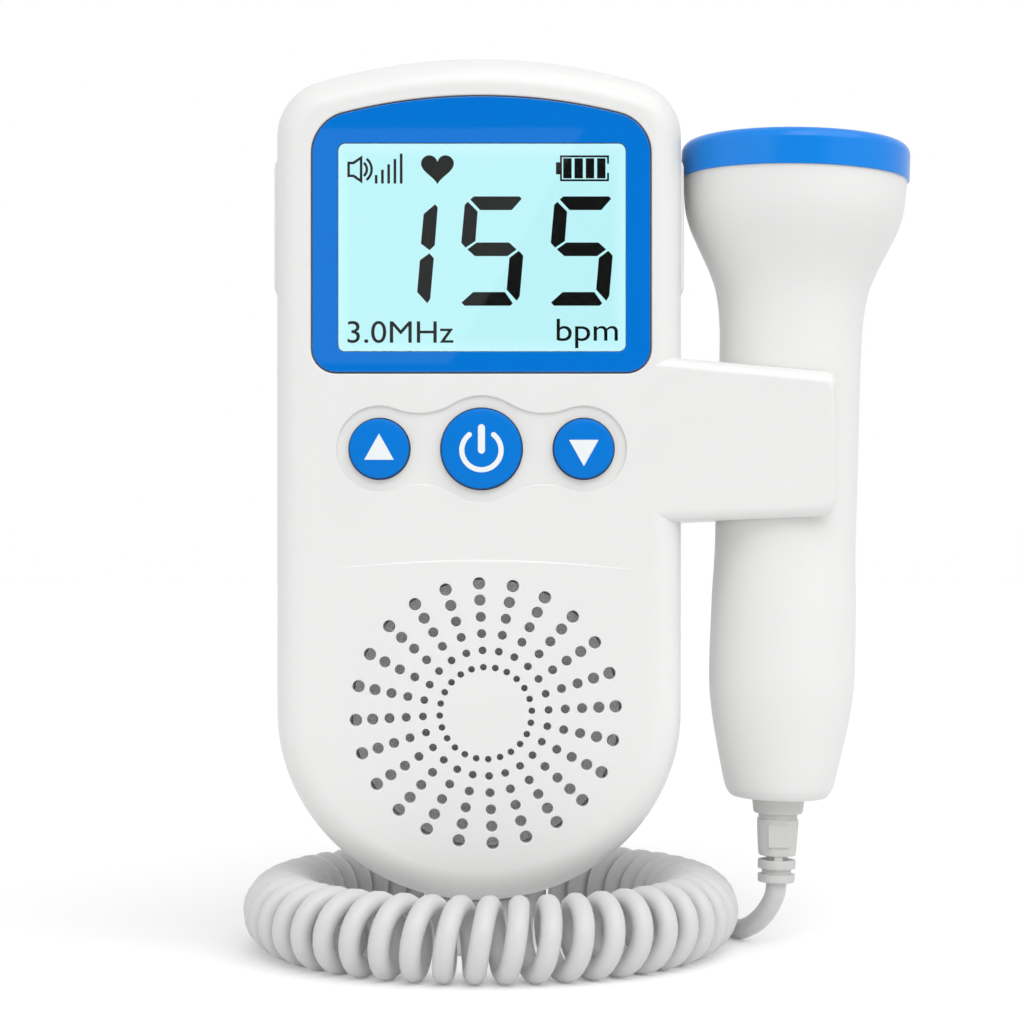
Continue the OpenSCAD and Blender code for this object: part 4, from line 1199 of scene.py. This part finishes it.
# ---------------------------------------------------------------- probe
def shell_keys():
    """Outline of the probe: (radius, height) from its foot over the waist of the handle to the bell."""
    handle = [(-3.2, 1.25), (-2.72, 2.1), (-2.2, 4), (-1.15, 8.9), (-0.25, 13.7), (0.32, 18.6), (0.4, 24),
              (0.25, 33.2), (0, 40), (0, 51)]
    bell = [(0, 36.3), (0.007, 28.3), (0.03, 23.3), (0.12, 18.7), (0.295, 15.2), (0.583, 11.2), (0.813, 7.9),
            (0.942, 4.7), (1, 0)]
    return ([Vector((NECK_R + r, SHELL_Z + z)) for r, z in handle]
            + [Vector((NECK_R + (BELL_R - NECK_R) * share, SHELL_TOP_Z - z)) for share, z in bell])


RELIEF_HOLE_R = 4


def probe_shell():
    outer = [tuple(p) for p in smooth_path(shell_keys(), 8)]
    foot_r = outer[0][0]
    low = SHELL_Z + 0.4
    base = [(RELIEF_HOLE_R + FIT, low), (foot_r - 1.6, low), (foot_r - 0.8, low + 0.15),
            (foot_r - 0.3, low + 0.45)]
    inner = [(r - PROBE_WALL, z) for r, z in reversed(outer) if z > SHELL_Z + 4]
    inside = [(inner[-1][0], SHELL_Z + 2), (RELIEF_HOLE_R + FIT, SHELL_Z + 2)]
    made = lathe("probe_shell", base + outer + inner + inside, PROBE_PLACE, steps=144, closed=True)
    finish(soften(made), PROBE_WHITE, "probe", "white_probe", "probe_shell")


def face_ring():
    rim_r, edge_r = 4, 1.8
    face_r = HEAD_R - rim_r
    spigot_r, spigot_z = BELL_R - PROBE_WALL - FIT, SHELL_TOP_Z - 2.6
    profile = [(face_r + FIT, RING_TOP_Z), (face_r + FIT, spigot_z), (spigot_r - 0.6, spigot_z),
               (spigot_r - 0.3, SHELL_TOP_Z), (HEAD_R - 0.15, SHELL_TOP_Z), (HEAD_R, SHELL_TOP_Z + 0.15)]
    profile += arc(HEAD_R - edge_r, RING_TOP_Z - edge_r, edge_r, 0, 90, 10)
    made = lathe("face_ring", profile, PROBE_PLACE, steps=144, closed=True)
    finish(soften(made), RING_BLUE, "probe", "blue_plastic", "face_ring")
    disc = rounded_disc(face_r, RING_TOP_Z - 2.4, RING_TOP_Z, 0.25)
    face = lathe("acoustic_face", disc, PROBE_PLACE, steps=144)
    finish(soften(face), RING_BLUE, "probe", "blue_plastic", "acoustic_face")


def probe_strain_relief():
    """Collar, block with four flats and a panel, and two rings over the cord, joined by a web."""
    web_r = 2.6

    def ring(r, z, flat=99, web=0):
        points = []
        for i in range(96):
            turn = 2 * math.pi * i / 96
            across, along = abs(math.cos(turn)), abs(math.sin(turn))
            reach = web_r if along > across and r * across < web else r
            points.append(on_probe(min(reach, flat / max(across, along)), z, turn))
        return points
    collar_z = SHELL_Z + 2.1
    steps = [(0.01, 10.8), (2.85, 10.8), (2.97, 10.95), (3, 12.05), (2.35, 12.1), (2.35, 12.95), (3, 13),
             (3.05, 13.15), (3.05, 14.3), (2.95, 14.4)]
    rings = [ring(r, z) for r, z in steps]
    rings += [ring(CORD_D / 2 + 0.1, z, web=0.5) for z in (14.42, 15.13)]
    block = [(3.05, 15.15), (3.15, 15.4), (3.3, 17), (3.42, 19), (3.5, 20.6), (3.45, 21)]
    rings += [ring(r, z, r * 0.93) for r, z in block]
    upper = [(3.15, 21.1), (3.15, 21.9), (3.85, 21.98), (3.98, 22.2), (4.05, 22.6), (4.25, SHELL_Z + 0.35),
             (RELIEF_HOLE_R, SHELL_Z + 0.4), (RELIEF_HOLE_R, collar_z), (RELIEF_HOLE_R + 1.4, collar_z),
             (RELIEF_HOLE_R + 1.4, collar_z + 1.5), (0.01, collar_z + 1.5)]
    rings += [ring(r, z) for r, z in upper]
    made = skin("probe_strain_relief", rings)
    mid_x = on_probe(0, 18.5).x
    panel = rounded((mid_x - 1.8, 16.6), (mid_x + 1.8, 20.3), 0.3)
    combine(made, "UNION", plate("panel", panel, [(-3.36, 0.1), (-3.3, 0), (3.3, 0), (3.36, 0.1)]))
    finish(soften(made, 28), RELIEF, "probe", "light_grey_cord", "probe_strain_relief")


probe_shell()
face_ring()
probe_strain_relief()


# ---------------------------------------------------------------- studio
FLOOR_LIFT = 0.23
AMBIENT = 0.52
CARD_Y = -1000


def seen_rays(tree):
    """1 for rays that see the studio directly, in gloss or through glass, and else 0."""
    rays = add_node(tree, "ShaderNodeLightPath").outputs
    first = add_node(tree, "ShaderNodeMath", {0: rays["Is Camera Ray"], 1: rays["Is Glossy Ray"]},
                     operation="MAXIMUM")
    both = add_node(tree, "ShaderNodeMath", {0: first.outputs[0], 1: rays["Is Transmission Ray"]},
                    operation="MAXIMUM")
    return both.outputs[0]


def floor():
    """White floor: it takes the object's shadow, and is lifted to white for the rays that see it."""
    material, tree, shader = new_material("matt_white_floor", Base_Color=linear("#F4F4F4"), Roughness=0.9,
                                          Specular_IOR_Level=0, Emission_Color=(1, 1, 1, 1))
    lift = add_node(tree, "ShaderNodeMath", {0: seen_rays(tree), 1: FLOOR_LIFT}, operation="MULTIPLY")
    tree.links.new(lift.outputs[0], shader.inputs["Emission Strength"])
    reach = 4000
    corners = [(-reach, -reach, 0), (reach, -reach, 0), (reach, reach, 0), (-reach, reach, 0)]
    made = piece("floor", corners, [(0, 1, 2, 3)])
    made.data.materials.append(material)


def world():
    """White surroundings: white to the eye, softer as a light, and dark behind the camera in reflections."""
    surroundings = bpy.data.worlds.new("white_studio")
    bpy.context.scene.world = surroundings
    surroundings.use_nodes = True
    tree = surroundings.node_tree
    light = tree.nodes["Background"]
    light.inputs["Color"].default_value = (1, 1, 1, 1)
    direction = add_node(tree, "ShaderNodeTexCoord").outputs["Generated"]
    forward = add_node(tree, "ShaderNodeSeparateXYZ", {"Vector": direction}).outputs["Y"]
    mirrored = add_node(tree, "ShaderNodeMapRange", {"Value": forward, "From Min": -0.97, "From Max": -0.8,
                                                     "To Min": 0.05, "To Max": 0.9},
                        interpolation_type="SMOOTHSTEP")
    rays = add_node(tree, "ShaderNodeLightPath").outputs
    in_gloss = add_node(tree, "ShaderNodeMix", {0: rays["Is Glossy Ray"], 2: 1.0,
                                                3: mirrored.outputs["Result"]})
    strength = add_node(tree, "ShaderNodeMix", {0: seen_rays(tree), 2: AMBIENT, 3: in_gloss.outputs[0]})
    tree.links.new(strength.outputs[0], light.inputs["Strength"])


def sun(name, toward, angle, strength):
    """A soft sun that shines from a direction."""
    lamp = bpy.data.lights.new(name, "SUN")
    lamp.angle = math.radians(angle)
    lamp.energy = strength
    made = bpy.data.objects.new(name, lamp)
    made.rotation_mode = "QUATERNION"
    made.rotation_quaternion = Vector(toward).to_track_quat("Z", "Y")
    bpy.context.scene.collection.objects.link(made)


def card(name, corners, strength):
    """A glowing card behind the camera that only reflections show."""
    made = piece(name, [(x, CARD_Y, z) for x, z in corners], [tuple(range(len(corners)))])
    material = new_material("glowing_card", Roughness=1, Base_Color=(0, 0, 0, 1),
                            Emission_Color=(1, 1, 1, 1), Emission_Strength=strength)[0]
    made.data.materials.append(material)
    made.visible_camera = made.visible_diffuse = made.visible_shadow = False


floor()
world()
sun("key_light", (0.45, -0.55, 0.88), 60, 1.14)
sun("fill_light", (-0.8, -0.5, 0.3), 60, 0.2)
sun("front_light", (0, -1.0, 0.8), 30, 0.45)
card("diagonal_card", [(-220, 168), (-30, 168), (46, 300), (-220, 300)], 0.36)
bpy.context.scene.view_settings.view_transform = "Standard"
